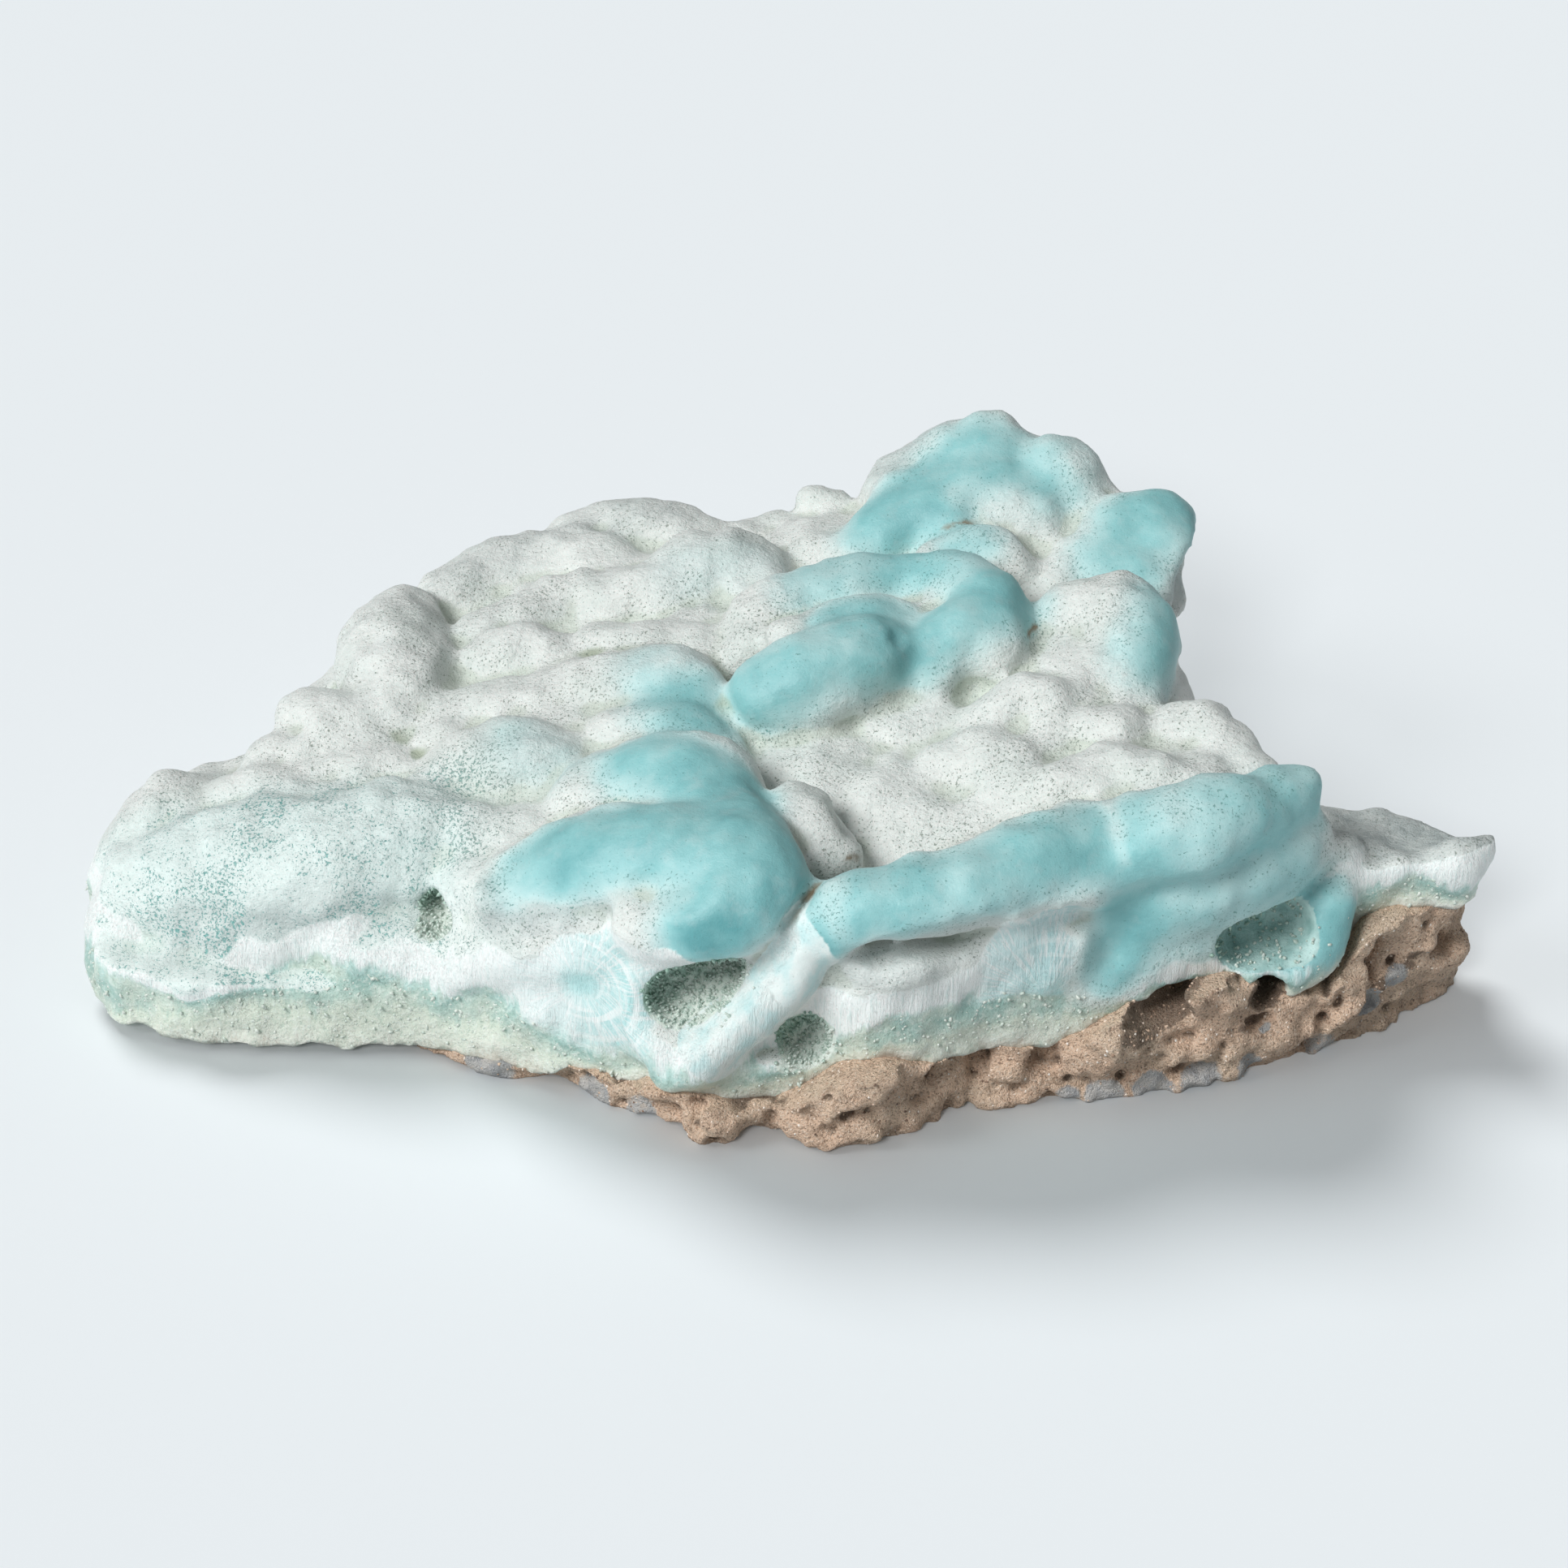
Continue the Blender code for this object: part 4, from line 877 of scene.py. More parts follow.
def grown(spots, ways, lengths, widths, lean, draw, sink):
    """Places for crystals that stand on a surface, each turned and leaning a little at random."""
    places = []
    for spot, way, length, width in zip(spots, ways, lengths, widths):
        way = Vector(way) + Vector(draw.normal(0, lean, 3))
        turn = upright_turn(way) @ Matrix.Rotation(draw.uniform(0, math.tau), 4, "Z")
        low = Vector(spot) - way.normalized() * sink * length
        size = Matrix.Diagonal((width * MM, width * MM, length * MM, 1))
        places.append(Matrix.Translation(low * MM) @ turn @ size)
    return places


def crystal_pattern(sides, tip):
    """A prism from z = 0 to 1 with a pointed end."""
    base = primitive(
        bpy.ops.mesh.primitive_circle_add, "crystal", vertices=sides, radius=0.5, fill_type="NGON"
    )
    return pull_up(base, 1 - tip, tip, pointed=True)


# Materials.


class Wire:
    """A node's output, used in sums as if it were a number."""

    def __init__(self, graph, socket):
        self.graph, self.socket = graph, socket

    def maths(self, operation, *others):
        return self.graph.node("ShaderNodeMath", {"operation": operation}, dict(enumerate((self, *others))))

    def __add__(self, other):
        return self.maths("ADD", other)

    def __sub__(self, other):
        return self.maths("SUBTRACT", other)

    def __mul__(self, other):
        return self.maths("MULTIPLY", other)

    def __truediv__(self, other):
        return self.maths("DIVIDE", other)

    def __pow__(self, other):
        return self.maths("POWER", other)

    def __rsub__(self, other):
        return self.graph.node("ShaderNodeMath", {"operation": "SUBTRACT"}, {0: other, 1: self})

    __radd__ = __add__
    __rmul__ = __mul__

    def highest(self, other):
        return self.maths("MAXIMUM", other)

    def lowest(self, other):
        return self.maths("MINIMUM", other)

    def clamped(self):
        return self.highest(0.0).lowest(1.0)


class Graph:
    """A material and the few ways in which its nodes are added."""

    def __init__(self, name):
        self.material = bpy.data.materials.new(name)
        self.material.use_nodes = True
        self.tree = self.material.node_tree
        self.shader = self.tree.nodes["Principled BSDF"]

    def connect(self, socket, value):
        if isinstance(value, Wire):
            self.tree.links.new(value.socket, socket)
        elif isinstance(value, tuple) and len(value) == 3 and socket.type == "RGBA":
            socket.default_value = (*value, 1)
        else:
            socket.default_value = value

    def node(self, kind, settings, inputs, output=0):
        made = self.tree.nodes.new(kind)
        for name, value in settings.items():
            if name == "stops":
                ramp = made.color_ramp
                while len(ramp.elements) < len(value):
                    ramp.elements.new(0.5)
                for element, (place, _) in zip(ramp.elements, value):
                    element.position = place
                for element, (_, colour) in zip(ramp.elements, value):
                    element.color = (*colour, 1)
            else:
                setattr(made, name, value)
        for name, value in inputs.items():
            self.connect(made.inputs[name], value)
        return Wire(self, made.outputs[output])

    def place(self):
        """The place on the object in millimetres."""
        metres = self.node("ShaderNodeTexCoord", {}, {}, "Object")
        return self.node("ShaderNodeVectorMath", {"operation": "SCALE"}, {0: metres, "Scale": 1 / MM})

    def scaled(self, vector, factors):
        return self.node("ShaderNodeVectorMath", {"operation": "MULTIPLY"}, {0: vector, 1: factors})

    def parts(self, vector):
        return [self.node("ShaderNodeSeparateXYZ", {}, {0: vector}, i) for i in range(3)]

    def value(self, name):
        return self.node("ShaderNodeAttribute", {"attribute_name": name}, {}, "Fac")

    def cloud(self, vector, size, detail=3.0, rough=0.55, warp=0.0):
        """Noise from 0 to 1 with lumps of about the given size."""
        return self.node(
            "ShaderNodeTexNoise",
            {},
            {"Vector": vector, "Scale": 1 / size, "Detail": detail, "Roughness": rough, "Distortion": warp},
            "Fac",
        )

    def step(self, low, high, value):
        """0 below low, 1 above high and a smooth step between them."""
        return self.node(
            "ShaderNodeMapRange",
            {"interpolation_type": "SMOOTHSTEP"},
            {"Value": value, "From Min": low, "From Max": high},
        )

    def mix(self, share, first, second):
        return self.node("ShaderNodeMix", {"data_type": "RGBA"}, {0: share, 6: first, 7: second}, 2)

    def ramp(self, value, *stops):
        return self.node("ShaderNodeValToRGB", {"stops": stops}, {"Fac": value})

    def bump(self, height):
        """Relief from heights in millimetres."""
        return self.node("ShaderNodeBump", {}, {"Height": height, "Distance": MM, "Strength": 1.0}, "Normal")

    def fix(self, **inputs):
        """Numbers that are the same all over the surface, set on the shader itself."""
        for name, value in inputs.items():
            self.connect(self.shader.inputs[name.replace("_", " ").title().replace("Ior", "IOR")], value)

    def finish(self, colour, roughness, height):
        self.fix(base_color=colour, roughness=roughness)
        if height is not None:
            self.fix(normal=self.bump(height))
        return self.material


def crust_material(settings):
    g = Graph("blue_aragonite")
    at = g.place()
    x, _, z = g.parts(at)
    blue, band, broken, olive, west = (g.value(n) for n in ("blue", "band", "broken", "olive", "west"))
    pocket, hollow, dirt, speckle, silk = (g.value(n) for n in ("pocket", "hollow", "dirt", "speckle", "silk"))
    shade, grey = g.value("shade"), g.value("grey")

    broad = g.cloud(at, 7.0, 3.0, 0.55)
    mottle = g.cloud(at, 2.4, 4.0, 0.6)
    fine = g.cloud(at, 0.7, 4.0, 0.65)
    grain = g.cloud(at, 0.2, 3.0, 0.6)

    # The rounded skin: white in the hollows, blue on the lobes, the blue deeper on the lobes' sides as painted
    # shade.
    lively = g.step(0.03, 0.35, blue)
    tint = (blue + (broad - 0.5) * 0.75 * lively + (mottle - 0.5) * 0.3 * lively).clamped()
    skin = g.ramp(
        tint,
        (0.0, tuple(settings.white)),
        (0.35, (0.53, 0.74, 0.735)),
        (0.7, tuple(settings.aqua)),
        (1.0, tuple(settings.teal)),
    )
    chalky = 1 - g.step(0.12, 0.5, tint)
    skin = g.mix(g.step(0.45, 0.68, broad) * 0.35 * chalky, skin, (0.60, 0.69, 0.65))
    # Painted shade: greenish grey in the hollows of the chalky skin, partly the skin's own greenish tint.
    skin = g.mix(g.step(0.15, 0.9, hollow) * 0.6 * chalky, skin, (0.54, 0.61, 0.52))
    skin = g.mix(g.step(0.5, 0.75, mottle) * 0.4 * (chalky * 0.6 + 0.4), skin, (0.80, 0.86, 0.84))
    skin = g.mix(west * 0.55, skin, (0.78, 0.92, 0.89))
    # Painted shade, partly the skin's own grey: grey under lobes, in recesses, on the ledge and on tops turned
    # from the light.
    skin = g.mix(grey * (0.55 + 0.4 * g.step(0.4, 0.6, mottle)) * chalky, skin, (0.42, 0.48, 0.475))
    skin = g.mix(olive * 0.6 * g.step(0.35, 0.8, hollow * 0.6 + mottle * 0.5), skin, (0.32, 0.38, 0.25))

    # Specks.
    patchy = g.step(0.34, 0.64, g.cloud(at, 7.5, 5.0, 0.65)) * 0.65 + 0.35
    amount = speckle * patchy
    tiny = g.cloud(at, 0.26, 2.0, 0.6, 0.3)
    small = g.step(0.0, 0.06, tiny - 0.715 + amount * 0.18)
    broader = g.cloud(at, 0.42, 3.0, 0.6, 0.6)
    large = g.step(0.0, 0.05, broader - 0.735 + amount * 0.17) * (west * 0.7 + 0.3)
    skin = g.mix(small * 0.75, skin, g.mix(west.highest(lively * 0.7), (0.20, 0.26, 0.21), (0.12, 0.40, 0.38)))
    skin = g.mix(large * 0.75, skin, g.mix(west.highest(lively), (0.26, 0.36, 0.31), (0.13, 0.45, 0.42)))

    # The broken front: bands from the rock up to the skin.
    upright = g.scaled(at, (1.0, 1.0, 0.1))
    fibres = g.cloud(upright, 0.3, 4.0, 0.65)
    teeth = g.cloud(g.scaled(at, (1.0, 1.0, 0.16)), 1.2, 3.0, 0.6)
    level = band + (teeth - 0.5) * 1.1 + (fibres - 0.5) * 0.35
    bands = g.ramp(
        level / 4.0,
        (0.0, (0.60, 0.58, 0.50)), (0.06, (0.74, 0.77, 0.69)), (0.20, (0.67, 0.75, 0.64)),
        (0.27, (0.48, 0.62, 0.55)), (0.42, (0.34, 0.53, 0.48)), (0.50, (0.50, 0.70, 0.66)),
        (0.55, (0.88, 0.94, 0.92)), (0.9, (0.90, 0.95, 0.93)),
    )
    in_fibres = g.step(1.95, 2.2, level)
    glass = 1 - in_fibres
    bands = g.mix(in_fibres * g.step(0.5, 0.72, fibres) * 0.4, bands, (0.56, 0.77, 0.75))
    bands = g.mix(in_fibres * (1 - g.step(0.3, 0.48, fibres)) * 0.5, bands, (0.94, 0.96, 0.95))
    cloudy = g.step(0.42, 0.68, g.cloud(at, 4.5, 3.0))
    bands = g.mix(glass * cloudy * 0.65, bands, (0.66, 0.72, 0.62))
    bands = g.mix(glass * g.step(0.5, 0.68, fine) * 0.55, bands, (0.78, 0.85, 0.79))
    bands = g.mix(glass * (1 - g.step(0.32, 0.45, fine)) * 0.35, bands, (0.28, 0.44, 0.36))

    # Fans of fibres on the broken front.
    for centre_x, centre_z, reach, core, half_width, pale, deep in FANS:
        across, up = x - centre_x, z - centre_z
        radius = (across * across + up * up) ** 0.5
        angle = up.maths("ARCTAN2", across)
        wheel = g.node("ShaderNodeCombineXYZ", {}, {0: angle * 7.0, 1: radius * 0.1, 2: centre_x})
        spokes = g.cloud(wheel, 0.3, 3.0, 0.6)
        rings = g.cloud(g.node("ShaderNodeCombineXYZ", {}, {0: radius, 1: angle * 0.4, 2: 0.0}), 0.9, 2.0)
        blue_side = g.step(-0.5, 0.6, across / reach)
        near = (1 - g.step(0.6, 1.0, radius / reach + (mottle - 0.5) * 0.5)) * broken * g.step(1.7, 2.0, band)
        near = near * (1 - g.step(0.8, 1.1, across.maths("ABSOLUTE") / half_width + (mottle - 0.5) * 0.4))
        fan = g.mix(g.step(0.38, 0.56, rings) * blue_side, pale, deep)
        fan = g.mix(g.step(0.46, 0.62, spokes) * 0.65, fan, (0.94, 0.97, 0.96))
        fan = g.mix((1 - g.step(0.05, 0.34, radius / reach)) * core, fan, (0.36, 0.74, 0.74))
        bands = g.mix(near * 0.85, bands, fan)

    edge = g.step(0.2, 0.8, broken + (mottle - 0.5) * 0.5 + (teeth - 0.5) * 0.6)
    colour = g.mix(edge, skin, bands)

    # The smooth band beside the open pocket.
    sheen = g.step(0.4, 0.7, g.cloud(g.scaled(at, (1.0, 1.0, 0.6)), 2.2, 3.0))
    colour = g.mix(g.step(0.3, 0.7, silk), colour, g.mix(sheen, (0.80, 0.88, 0.86), (0.58, 0.79, 0.79)))

    # Pockets, dirt, and painted shade in the hole's mouth.
    # Painted shade: each pocket's lining darkens to dark green at its upper left.
    lining = g.ramp(
        g.cloud(at, 2.0, 4.0, 0.65) + 0.24 - shade * 0.42,
        (0.26, (0.14, 0.26, 0.18)), (0.42, (0.36, 0.53, 0.45)),
        (0.54, (0.60, 0.75, 0.67)), (0.68, (0.78, 0.87, 0.80)),
    )
    blue_lining = g.mix(g.step(0.35, 0.65, mottle), (0.20, 0.43, 0.42), (0.45, 0.68, 0.66))
    lining = g.mix(g.step(32.0, 42.0, x) * 0.8, lining, blue_lining)
    colour = g.mix(g.step(0.3, 0.7, pocket + (mottle - 0.5) * 0.4), colour, lining)
    # Brown dirt in the crevices; in the hole's mouth the same brown is painted shade.
    crumbs = (dirt * g.step(0.42, 0.6, fine * 0.5 + mottle * 0.5 + dirt * 0.1)).clamped()
    colour = g.mix(crumbs, colour, (0.24, 0.18, 0.11))

    rough = 0.6 - 0.12 * g.step(0.3, 0.8, tint) * (1 - edge) - 0.1 * edge + (grain - 0.5) * 0.2
    wrinkles = g.cloud(g.scaled(at, (0.85, 1.0, 1.1)), 0.8, 5.0, 0.68, 0.3)
    dry = chalky * (1 - edge)
    height = (
        wrinkles * (0.10 + 0.30 * dry)
        + grain * (0.03 + 0.05 * dry)
        + fibres * 0.30 * edge * in_fibres
        + fine * 0.25 * edge * glass
        - (small + large) * 0.05
    )
    g.fix(ior=1.53, coat_weight=0.05, coat_roughness=0.35)
    g.fix(subsurface_weight=0.25, subsurface_radius=(0.8, 1.0, 1.0), subsurface_scale=1.2 * MM)
    return g.finish(colour, rough.clamped(), height)


def rock_material(settings):
    g = Graph("sandy_host_rock")
    at = g.place()
    lime = g.value("lime")
    deep = g.value("hollow")
    broad = g.cloud(at, 8.0, 3.0)
    mottle = g.cloud(at, 1.8, 5.0, 0.65)
    grain = g.cloud(at, 0.28, 3.0, 0.7)
    colour = g.mix(g.step(0.4, 0.7, broad), tuple(settings.brown), (0.86, 0.67, 0.50))
    colour = g.mix(g.step(0.5, 0.64, mottle) * 0.45, colour, (0.32, 0.21, 0.14))
    colour = g.mix(g.step(0.52, 0.62, grain) * 0.75, colour, (0.90, 0.74, 0.60))
    colour = g.mix((1 - g.step(0.36, 0.46, grain)) * 0.65, colour, (0.18, 0.11, 0.07))
    # Painted shade: near black in the rock's crevices and inside its holes.
    colour = g.mix(g.step(0.2, 0.9, deep) * 0.75, colour, (0.07, 0.045, 0.03))
    chalk = g.step(0.35, 0.6, lime + (mottle - 0.5) * 0.8 + (grain - 0.5) * 0.3)
    colour = g.mix(chalk, colour, g.mix(g.step(0.4, 0.65, mottle), (0.66, 0.64, 0.61), (0.46, 0.47, 0.48)))
    return g.finish(colour, 0.92, mottle * 0.6 + grain * 0.7)


def grain_material():
    g = Graph("sand_grains")
    kind = g.value("kind")
    colour = g.ramp(
        kind,
        (0.0, (0.16, 0.10, 0.07)), (0.15, (0.36, 0.24, 0.17)), (0.4, (0.60, 0.43, 0.31)),
        (0.75, (0.74, 0.57, 0.44)), (0.93, (0.84, 0.72, 0.61)), (1.0, (0.90, 0.86, 0.80)),
    )
    fine = g.cloud(g.place(), 0.12, 2.0)
    colour = g.mix((fine - 0.3).clamped() * 0.4, colour, (0.20, 0.13, 0.09))
    return g.finish(colour, 0.7, fine * 0.05)


def crystal_material(name, dark, light, through, roughness):
    """Small clear crystals: light partly passes through them."""
    g = Graph(name)
    kind = g.value("kind")
    fine = g.cloud(g.place(), 0.5, 2.0)
    colour = g.mix((kind + (fine - 0.5) * 0.4).clamped(), dark, light)
    g.fix(ior=1.6, transmission_weight=through)
    return g.finish(colour, roughness, fine * 0.03)


# Settings.


def colour_choice(name, description, default):
    return FloatVectorProperty(name=name, description=description, default=default, subtype="COLOR")


class AragoniteSettings(bpy.types.PropertyGroup):
    voxel: FloatProperty(
        name="Skin grid", description="Grid on which the crust's skin is made", default=0.56 * MM, unit="LENGTH"
    )
    softness: IntProperty(
        name="Softness", description="Rounds of smoothing over the joins of the lobes", default=7
    )
    white: colour_choice("White", "Colour of the chalky skin", (0.81, 0.85, 0.82))
    aqua: colour_choice("Aqua", "Colour of the paler lobes", (0.27, 0.57, 0.58))
    teal: colour_choice("Teal", "Colour of the bluest lobes", (0.12, 0.38, 0.40))


class RockSettings(bpy.types.PropertyGroup):
    voxel: FloatProperty(
        name="Rock grid", description="Grid on which the rock's skin is made", default=0.46 * MM, unit="LENGTH"
    )
    brown: colour_choice("Brown", "Colour of the sandy rock", (0.88, 0.63, 0.46))
    grains: IntProperty(
        name="Sand grains", description="Number of loose-looking grains on the rock", default=9000
    )


class StageSettings(bpy.types.PropertyGroup):
    floor: colour_choice("Floor", "Colour of the floor", (0.86, 0.905, 0.93))
    distance: FloatProperty(
        name="Camera distance",
        description="From the camera to the middle of the object",
        default=0.464,
        unit="LENGTH",
    )
    elevation: FloatProperty(
        name="Camera height",
        description="Angle of the camera above the floor",
        default=math.radians(33),
        subtype="ANGLE",
    )


# Operators.


class ARAGONITE_OT_crust(bpy.types.Operator):
    """Grow the crust of rounded aragonite with its broken front and open pockets"""

    bl_idname = "aragonite.crust"
    bl_label = "Aragonite crust"

    def execute(self, context):
        settings = context.scene.aragonite
        ball = ball_mesh(*RIDGE_BALL)
        balls = [row for flat, crest in RIDGES.values() for row in ridge_balls(flat, crest)]
        balls += [(x, y, top - radius * flat, radius, flat) for x, y, top, radius, flat in SWELLS]
        growth = repeated("growth", ball.data, ball_places(balls))
        remove(ball)
        pick(growth, *(block("block", outline, BLOCK_BOTTOM, top) for outline, top in BLOCKS))
        bpy.ops.object.join()
        crust = added("crust_skin")
        hollows = hollow_cutter("soft hollows", SOFT_HOLLOWS, HOLLOW_GRID)
        pockets = hollow_cutter("pockets", POCKETS, POCKET_GRID)
        clefts = hollow_cutter("clefts", CLEFTS, CLEFT_GRID)
        add_remesh(crust, settings.voxel)
        add_cuts(crust, hollows)
        add_remesh(crust, settings.voxel)
        add_smooth(crust, settings.softness)
        add_lumps(crust, GROWTH)
        add_cuts(crust, pockets, clefts)
        add_remesh(crust, settings.voxel)
        add_smooth(crust, 1)
        apply_modifiers(crust)
        remove(hollows, pockets, clefts)
        self.roughen(crust)
        below = contact_cutter("below contact", 0.0, -20.0, 0.5)
        add_remesh(crust, settings.voxel)
        add_cuts(crust, below)
        apply_modifiers(crust)
        remove(below)
        for name, values in crust_masks(crust, *shape_arrays(crust)).items():
            write_value(crust.data, name, values)
        smooth_and_paint(crust, crust_material(settings))
        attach(crust, "root")
        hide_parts("aragonite_crust")
        return {"FINISHED"}

    def roughen(self, crust):
        """Wrinkle the chalky skin, and break the front into bands of fibres and glassy crystals."""
        points, normals = shape_arrays(crust)
        masks = crust_masks(crust, points, normals)
        chalky = 1 - step_between(0.15, 0.6, masks["blue"])
        folds = 1 - 2 * np.abs(smooth_noise(points, 3.4, 23))
        rough = 0.26 * smooth_noise(points, 2.4, 21) + 0.12 * smooth_noise(points, 1.2, 22) + 0.2 * folds
        skin = (1 - masks["broken"]) * (1 - masks["pocket"])
        push = rough * (0.2 + 0.8 * chalky) * skin
        push += 0.45 * smooth_noise(points, 5.5, 24) * chalky * skin
        smoothed = neighbour_mean(crust.data, points, 30)
        push += (0.25 + 0.4 * chalky) * np.clip(((points - smoothed) * normals).sum(axis=1), -1.2, 0.8) * skin
        thin, thick, teeth = (0.7, 0.7, 6.0), (0.9, 0.9, 7.0), (1.3, 1.3, 9.0)
        jag = 0.3 * smooth_noise(points, teeth, 31) + 0.15 * smooth_noise(points, thin, 32)
        fibrous = step_between(1.95, 2.15, masks["band"] + jag)
        fibres = 0.16 * smooth_noise(points, thick, 33) + 0.1 * smooth_noise(points, thin, 34)
        glassy = -0.3 + 0.28 * smooth_noise(points, 1.1, 35) + 0.3 * smooth_noise(points, 3.0, 37)
        front = masks["broken"] * (1 - masks["pocket"]) * (1 - masks["silk"])
        push += front * (fibrous * fibres + (1 - fibrous) * glassy)
        push += 0.12 * masks["pocket"] * smooth_noise(points, 1.3, 36)
        move_points(crust, points + normals * push[:, None])


class ARAGONITE_OT_rock(bpy.types.Operator):
    """Break the slab of sandy host rock under the crust"""

    bl_idname = "aragonite.rock"
    bl_label = "Host rock"

    def execute(self, context):
        settings = context.scene.aragonite_rock
        rock = block("rock_slab", ROCK_OUTLINE, ROCK_BOTTOM, ROCK_TOP)
        add_remesh(rock, SLAB_GRID * MM)
        add_smooth(rock, 4)
        add_lumps(rock, BREAKAGE)
        add_remesh(rock, settings.voxel)
        holes = hollow_cutter("rock pockets", ROCK_POCKETS, POCKET_GRID)
        add_cuts(rock, holes)
        add_remesh(rock, settings.voxel)
        apply_modifiers(rock)
        remove(holes)
        points, normals = shape_arrays(rock)
        side = 1 - step_between(0.5, 0.9, np.abs(normals[:, 2]))
        pits = -1.6 * step_between(0.2, 0.5, smooth_noise(points, 1.9, 51))
        ledges = 0.8 * step_between(-0.1, 0.1, smooth_noise(points, (7, 7, 1.9), 54))
        fine = 0.6 * smooth_noise(points, 2.4, 52) + 0.5 * smooth_noise(points, 1.2, 53)
        crumbs = 0.5 * np.abs(smooth_noise(points, 1.7, 55)) ** 0.6
        push = side * (fine + ledges + crumbs - 0.6 + pits)
        move_points(rock, points + normals * push[:, None])
        above = contact_cutter("above contact", 0.1, 60.0, 0.5)
        floor = primitive(
            bpy.ops.mesh.primitive_cube_add,
            "floor cutter",
            size=1,
            location=(0, 0, -0.01),
            scale=(0.2, 0.2, 0.02),
        )
        add_remesh(rock, settings.voxel)
        add_cuts(rock, above, floor)
        apply_modifiers(rock)
        remove(above, floor)
        points, normals = shape_arrays(rock)
        lime = np.zeros(len(points))
        for *ball, amount in LIME:
            lime = np.maximum(lime, amount * nearness(points, [(*ball, 1)], 0.5, 1.15))
        # Painted shade: how hollow each point of the rock is, and whether it is inside a hole, darkens it.
        smoothed = neighbour_mean(rock.data, points, 12)
        hollow = step_between(0.05, 0.4, ((smoothed - points) * normals).sum(axis=1))
        inside = nearness(points, hollow_balls(ROCK_POCKETS), 1.02, 1.2)
        write_value(rock.data, "lime", lime)
        write_value(rock.data, "hollow", np.maximum(hollow, 0.8 * inside))
        smooth_and_paint(rock, rock_material(settings))
        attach(rock, "root")
        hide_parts("host_rock")
        return {"FINISHED"}


class ARAGONITE_OT_druse(bpy.types.Operator):
    """Line the open pockets and the glassy band with small crystals"""

    bl_idname = "aragonite.druse"
    bl_label = "Druse crystals"

    def execute(self, context):
        crust = bpy.data.objects["crust_skin"]
        points, normals = shape_arrays(crust)
        pocket, level, broken, silk = (read_value(crust, name) for name in ("pocket", "band", "broken", "silk"))
        front = broken * (1 - pocket) * (1 - silk) * (normals[:, 2] > -0.5)
        weights = {
            "pocket_crystals": pocket * (1 - 0.75 * step_between(42, 45, points[:, 0])),
            "band_crystals": front * step_between(0.1, 0.5, level) * (1 - step_between(1.8, 2.0, level)),
        }
        six_sided = crystal_pattern(6, 0.35)
        for seed, (name, (count, length, width, lean)) in enumerate(CRYSTAL_SIZES.items(), CRYSTAL_SEED):
            draw = np.random.RandomState(seed)
            spots, ways = pick_places(crust, weights[name], count, draw)
            lengths, widths = draw.uniform(*length, count), draw.uniform(*width, count)
            tones_and_painted_shade = draw.uniform(0.35, 1, count)
            # Painted shade: crystals at a pocket's upper left are darkened.
            if name == "pocket_crystals":
                tones_and_painted_shade *= 1 - pocket_painted_shade(spots)
            places = grown(spots, ways, lengths, widths, lean, draw, SINK[name])
            item = repeated(name, six_sided.data, places, tones_and_painted_shade)
            item.data.materials.append(crystal_material(name, *CRYSTALS[name]))
            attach(item, "root")
        remove(six_sided)
        return {"FINISHED"}


class ARAGONITE_OT_grains(bpy.types.Operator):
    """Scatter sand grains over the broken sides of the host rock"""

    bl_idname = "aragonite.grains"
    bl_label = "Sand grains"

    def execute(self, context):
        rock = bpy.data.objects["rock_slab"]
        points, normals = shape_arrays(rock)
        rows = np.array(FRONT_CONTACT)
        behind = points[:, 1] - np.interp(points[:, 0], rows[:, 0], rows[:, 1])
        bare = 1 - 0.8 * read_value(rock, "lime")
        weights = (np.abs(normals[:, 2]) < 0.97) * (0.08 + (behind < 7) * 1.0) * bare
        pattern = primitive(bpy.ops.mesh.primitive_ico_sphere_add, "grain", subdivisions=1, radius=1)
        draw = np.random.RandomState(GRAIN_SEED)
        count = context.scene.aragonite_rock.grains
        spots, ways = pick_places(rock, weights, count, draw)
        sizes = draw.uniform(*GRAIN_SIZES, (count, 1)) * draw.uniform(*GRAIN_STRETCH, (count, 3))
        places = []
        for spot, way, size in zip(spots, ways, sizes):
            turn = upright_turn(Vector(draw.normal(0, 1, 3)))
            middle = (Vector(spot) - 0.1 * Vector(way)) * MM
            middle.z = max(middle.z, 0.3 * MM)
            places.append(Matrix.Translation(middle) @ turn @ Matrix.Diagonal((*(size * MM), 1)))
        item = repeated("sand_grains", pattern.data, places, draw.uniform(0, 1, count))
        remove(pattern)
        item.data.materials.append(grain_material())
        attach(item, "root")
        return {"FINISHED"}


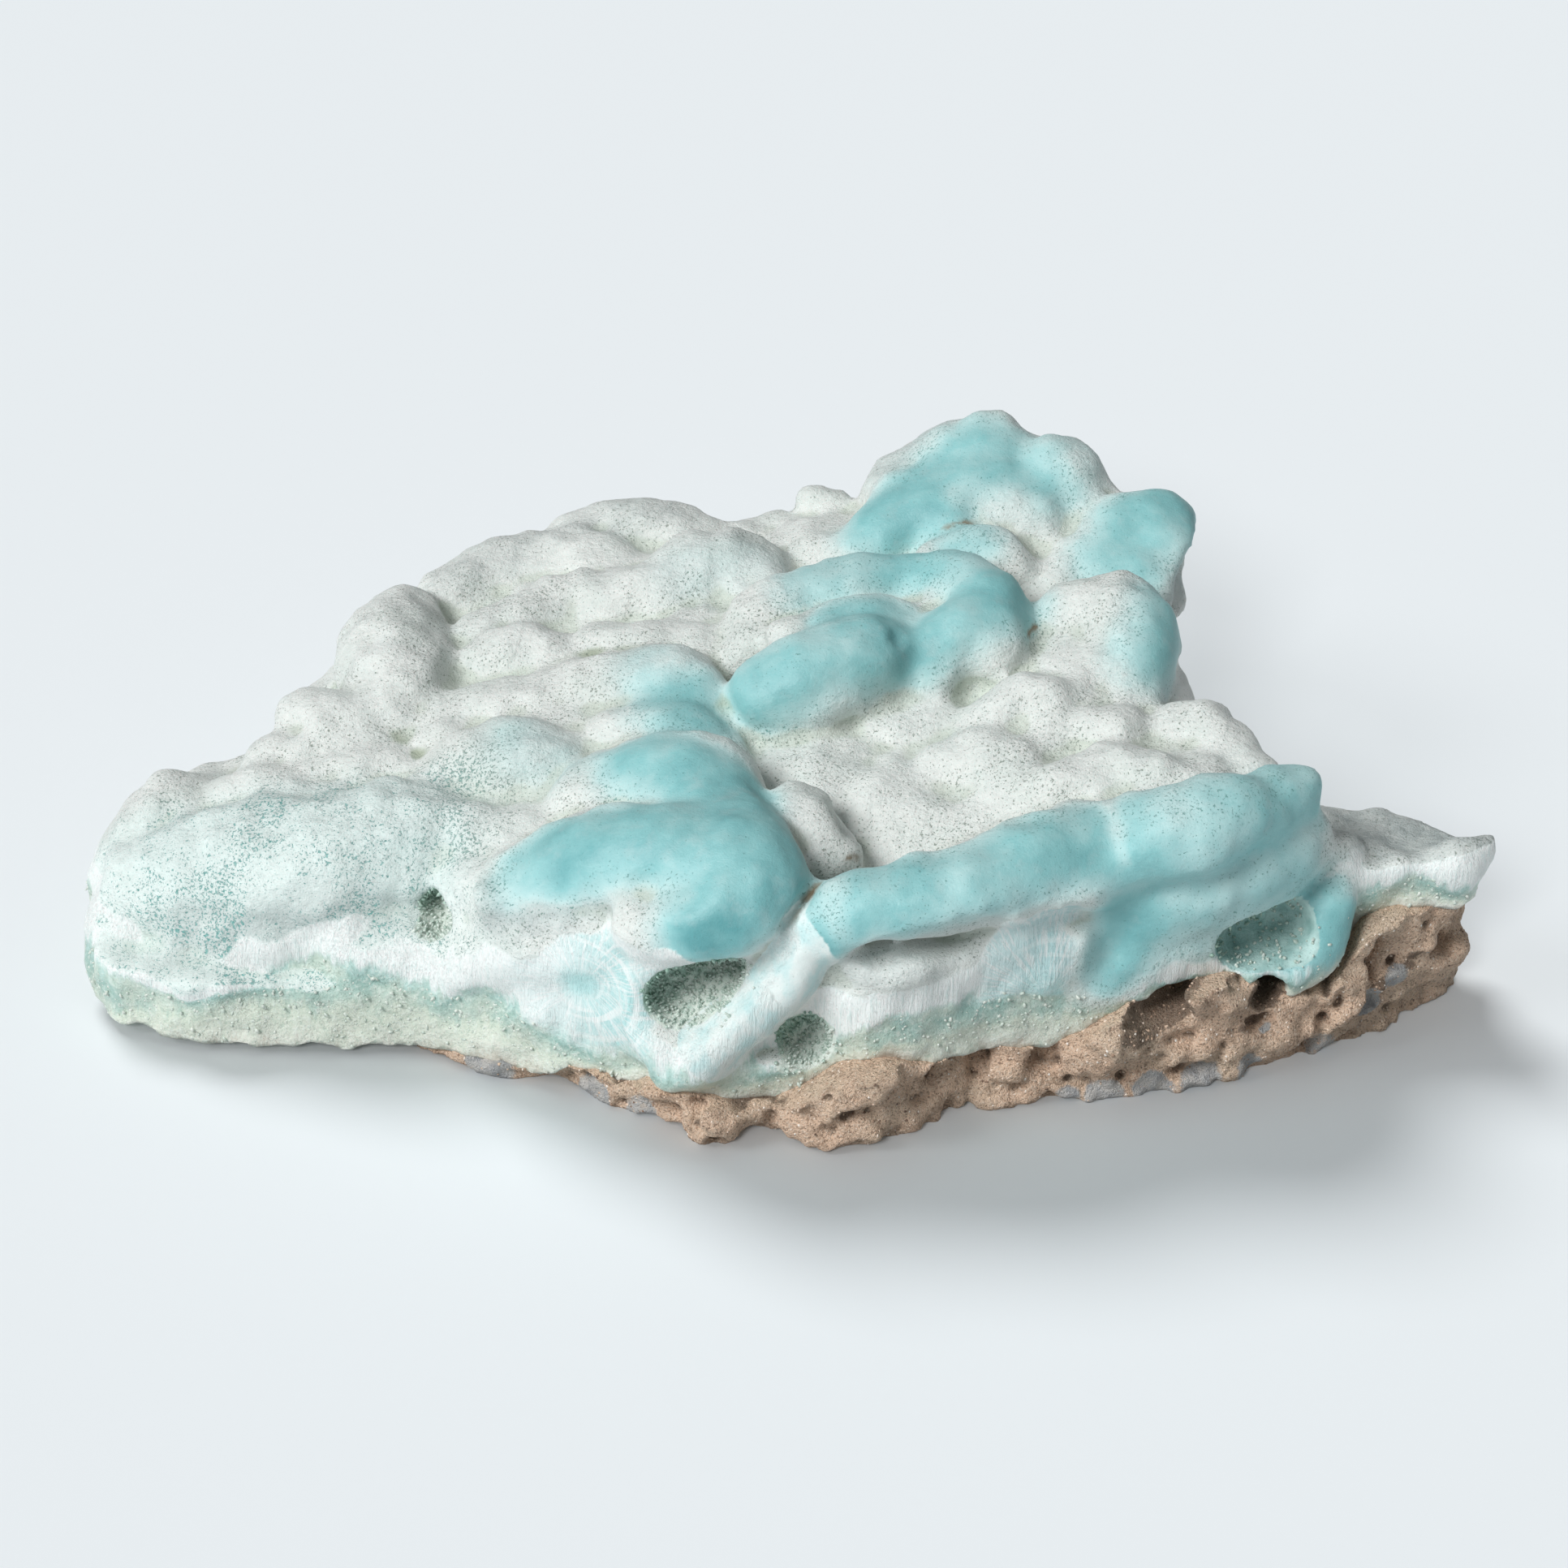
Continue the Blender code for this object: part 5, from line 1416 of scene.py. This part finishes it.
class ARAGONITE_OT_stage(bpy.types.Operator):
    """Set the floor, the soft light and the camera"""

    bl_idname = "aragonite.stage"
    bl_label = "Stage"

    def execute(self, context):
        settings = context.scene.aragonite_stage
        scene = context.scene
        floor = primitive(bpy.ops.mesh.primitive_plane_add, "floor", size=6)
        g = Graph("pale_floor")
        g.fix(specular_ior_level=0.0)
        floor.data.materials.append(g.finish(tuple(settings.floor), 0.9, None))

        world = bpy.data.worlds.new("soft_room")
        scene.world = world
        world.use_nodes = True
        background = world.node_tree.nodes["Background"]
        background.inputs["Color"].default_value = (0.97, 0.985, 1.0, 1)
        background.inputs["Strength"].default_value = ROOM_LIGHT
        only_floor = bpy.data.collections.new("lit_floor")
        only_floor.objects.link(floor)
        all_but_floor = bpy.data.collections.new("lit_specimen")
        all_but_floor.objects.link(floor)
        all_but_floor.collection_objects[0].light_linking.link_state = "EXCLUDE"
        for name, (towards, strength, spread) in LIGHTS.items():
            lamp = bpy.data.lights.new(name, "SUN")
            lamp.energy = strength
            lamp.angle = math.radians(spread)
            light = bpy.data.objects.new(name, lamp)
            light.rotation_euler = Vector(towards).to_track_quat("Z", "Y").to_euler()
            light.light_linking.receiver_collection = all_but_floor if name == "key" else only_floor
            scene.collection.objects.link(light)

        camera = bpy.data.objects.new("camera", bpy.data.cameras.new("camera"))
        scene.collection.objects.link(camera)
        camera.data.lens, camera.data.sensor_width = LENS, 36
        camera.data.clip_start = 0.01
        back = settings.distance * math.cos(settings.elevation)
        camera.location = (0, -back, MIDDLE_HEIGHT * MM + settings.distance * math.sin(settings.elevation))
        camera.rotation_euler = (math.pi / 2 - settings.elevation, 0, 0)
        scene.camera = camera
        scene.view_settings.view_transform = "Standard"
        return {"FINISHED"}


class ARAGONITE_PT_panel(bpy.types.Panel):
    """The steps and settings of the specimen"""

    bl_label = "Blue aragonite"
    bl_idname = "ARAGONITE_PT_panel"
    bl_space_type = "VIEW_3D"
    bl_region_type = "UI"
    bl_category = "Aragonite"

    def draw(self, context):
        scene = context.scene
        for settings, names in (
            (scene.aragonite, ("voxel", "softness", "white", "aqua", "teal")),
            (scene.aragonite_rock, ("voxel", "brown", "grains")),
            (scene.aragonite_stage, ("floor", "distance", "elevation")),
        ):
            box = self.layout.box()
            for name in names:
                box.prop(settings, name)
        for operator in STEPS:
            self.layout.operator(operator.bl_idname)


STEPS = (
    ARAGONITE_OT_crust,
    ARAGONITE_OT_rock,
    ARAGONITE_OT_druse,
    ARAGONITE_OT_grains,
    ARAGONITE_OT_stage,
)
CLASSES = (AragoniteSettings, RockSettings, StageSettings, *STEPS, ARAGONITE_PT_panel)


def register():
    for item in CLASSES:
        bpy.utils.register_class(item)
    bpy.types.Scene.aragonite = PointerProperty(type=AragoniteSettings)
    bpy.types.Scene.aragonite_rock = PointerProperty(type=RockSettings)
    bpy.types.Scene.aragonite_stage = PointerProperty(type=StageSettings)


def unregister():
    del bpy.types.Scene.aragonite
    del bpy.types.Scene.aragonite_rock
    del bpy.types.Scene.aragonite_stage
    for item in reversed(CLASSES):
        bpy.utils.unregister_class(item)


def main():
    register()
    bpy.ops.aragonite.crust()
    bpy.ops.aragonite.rock()
    bpy.ops.aragonite.druse()
    bpy.ops.aragonite.grains()
    bpy.ops.aragonite.stage()


if __name__ == "__main__":
    main()
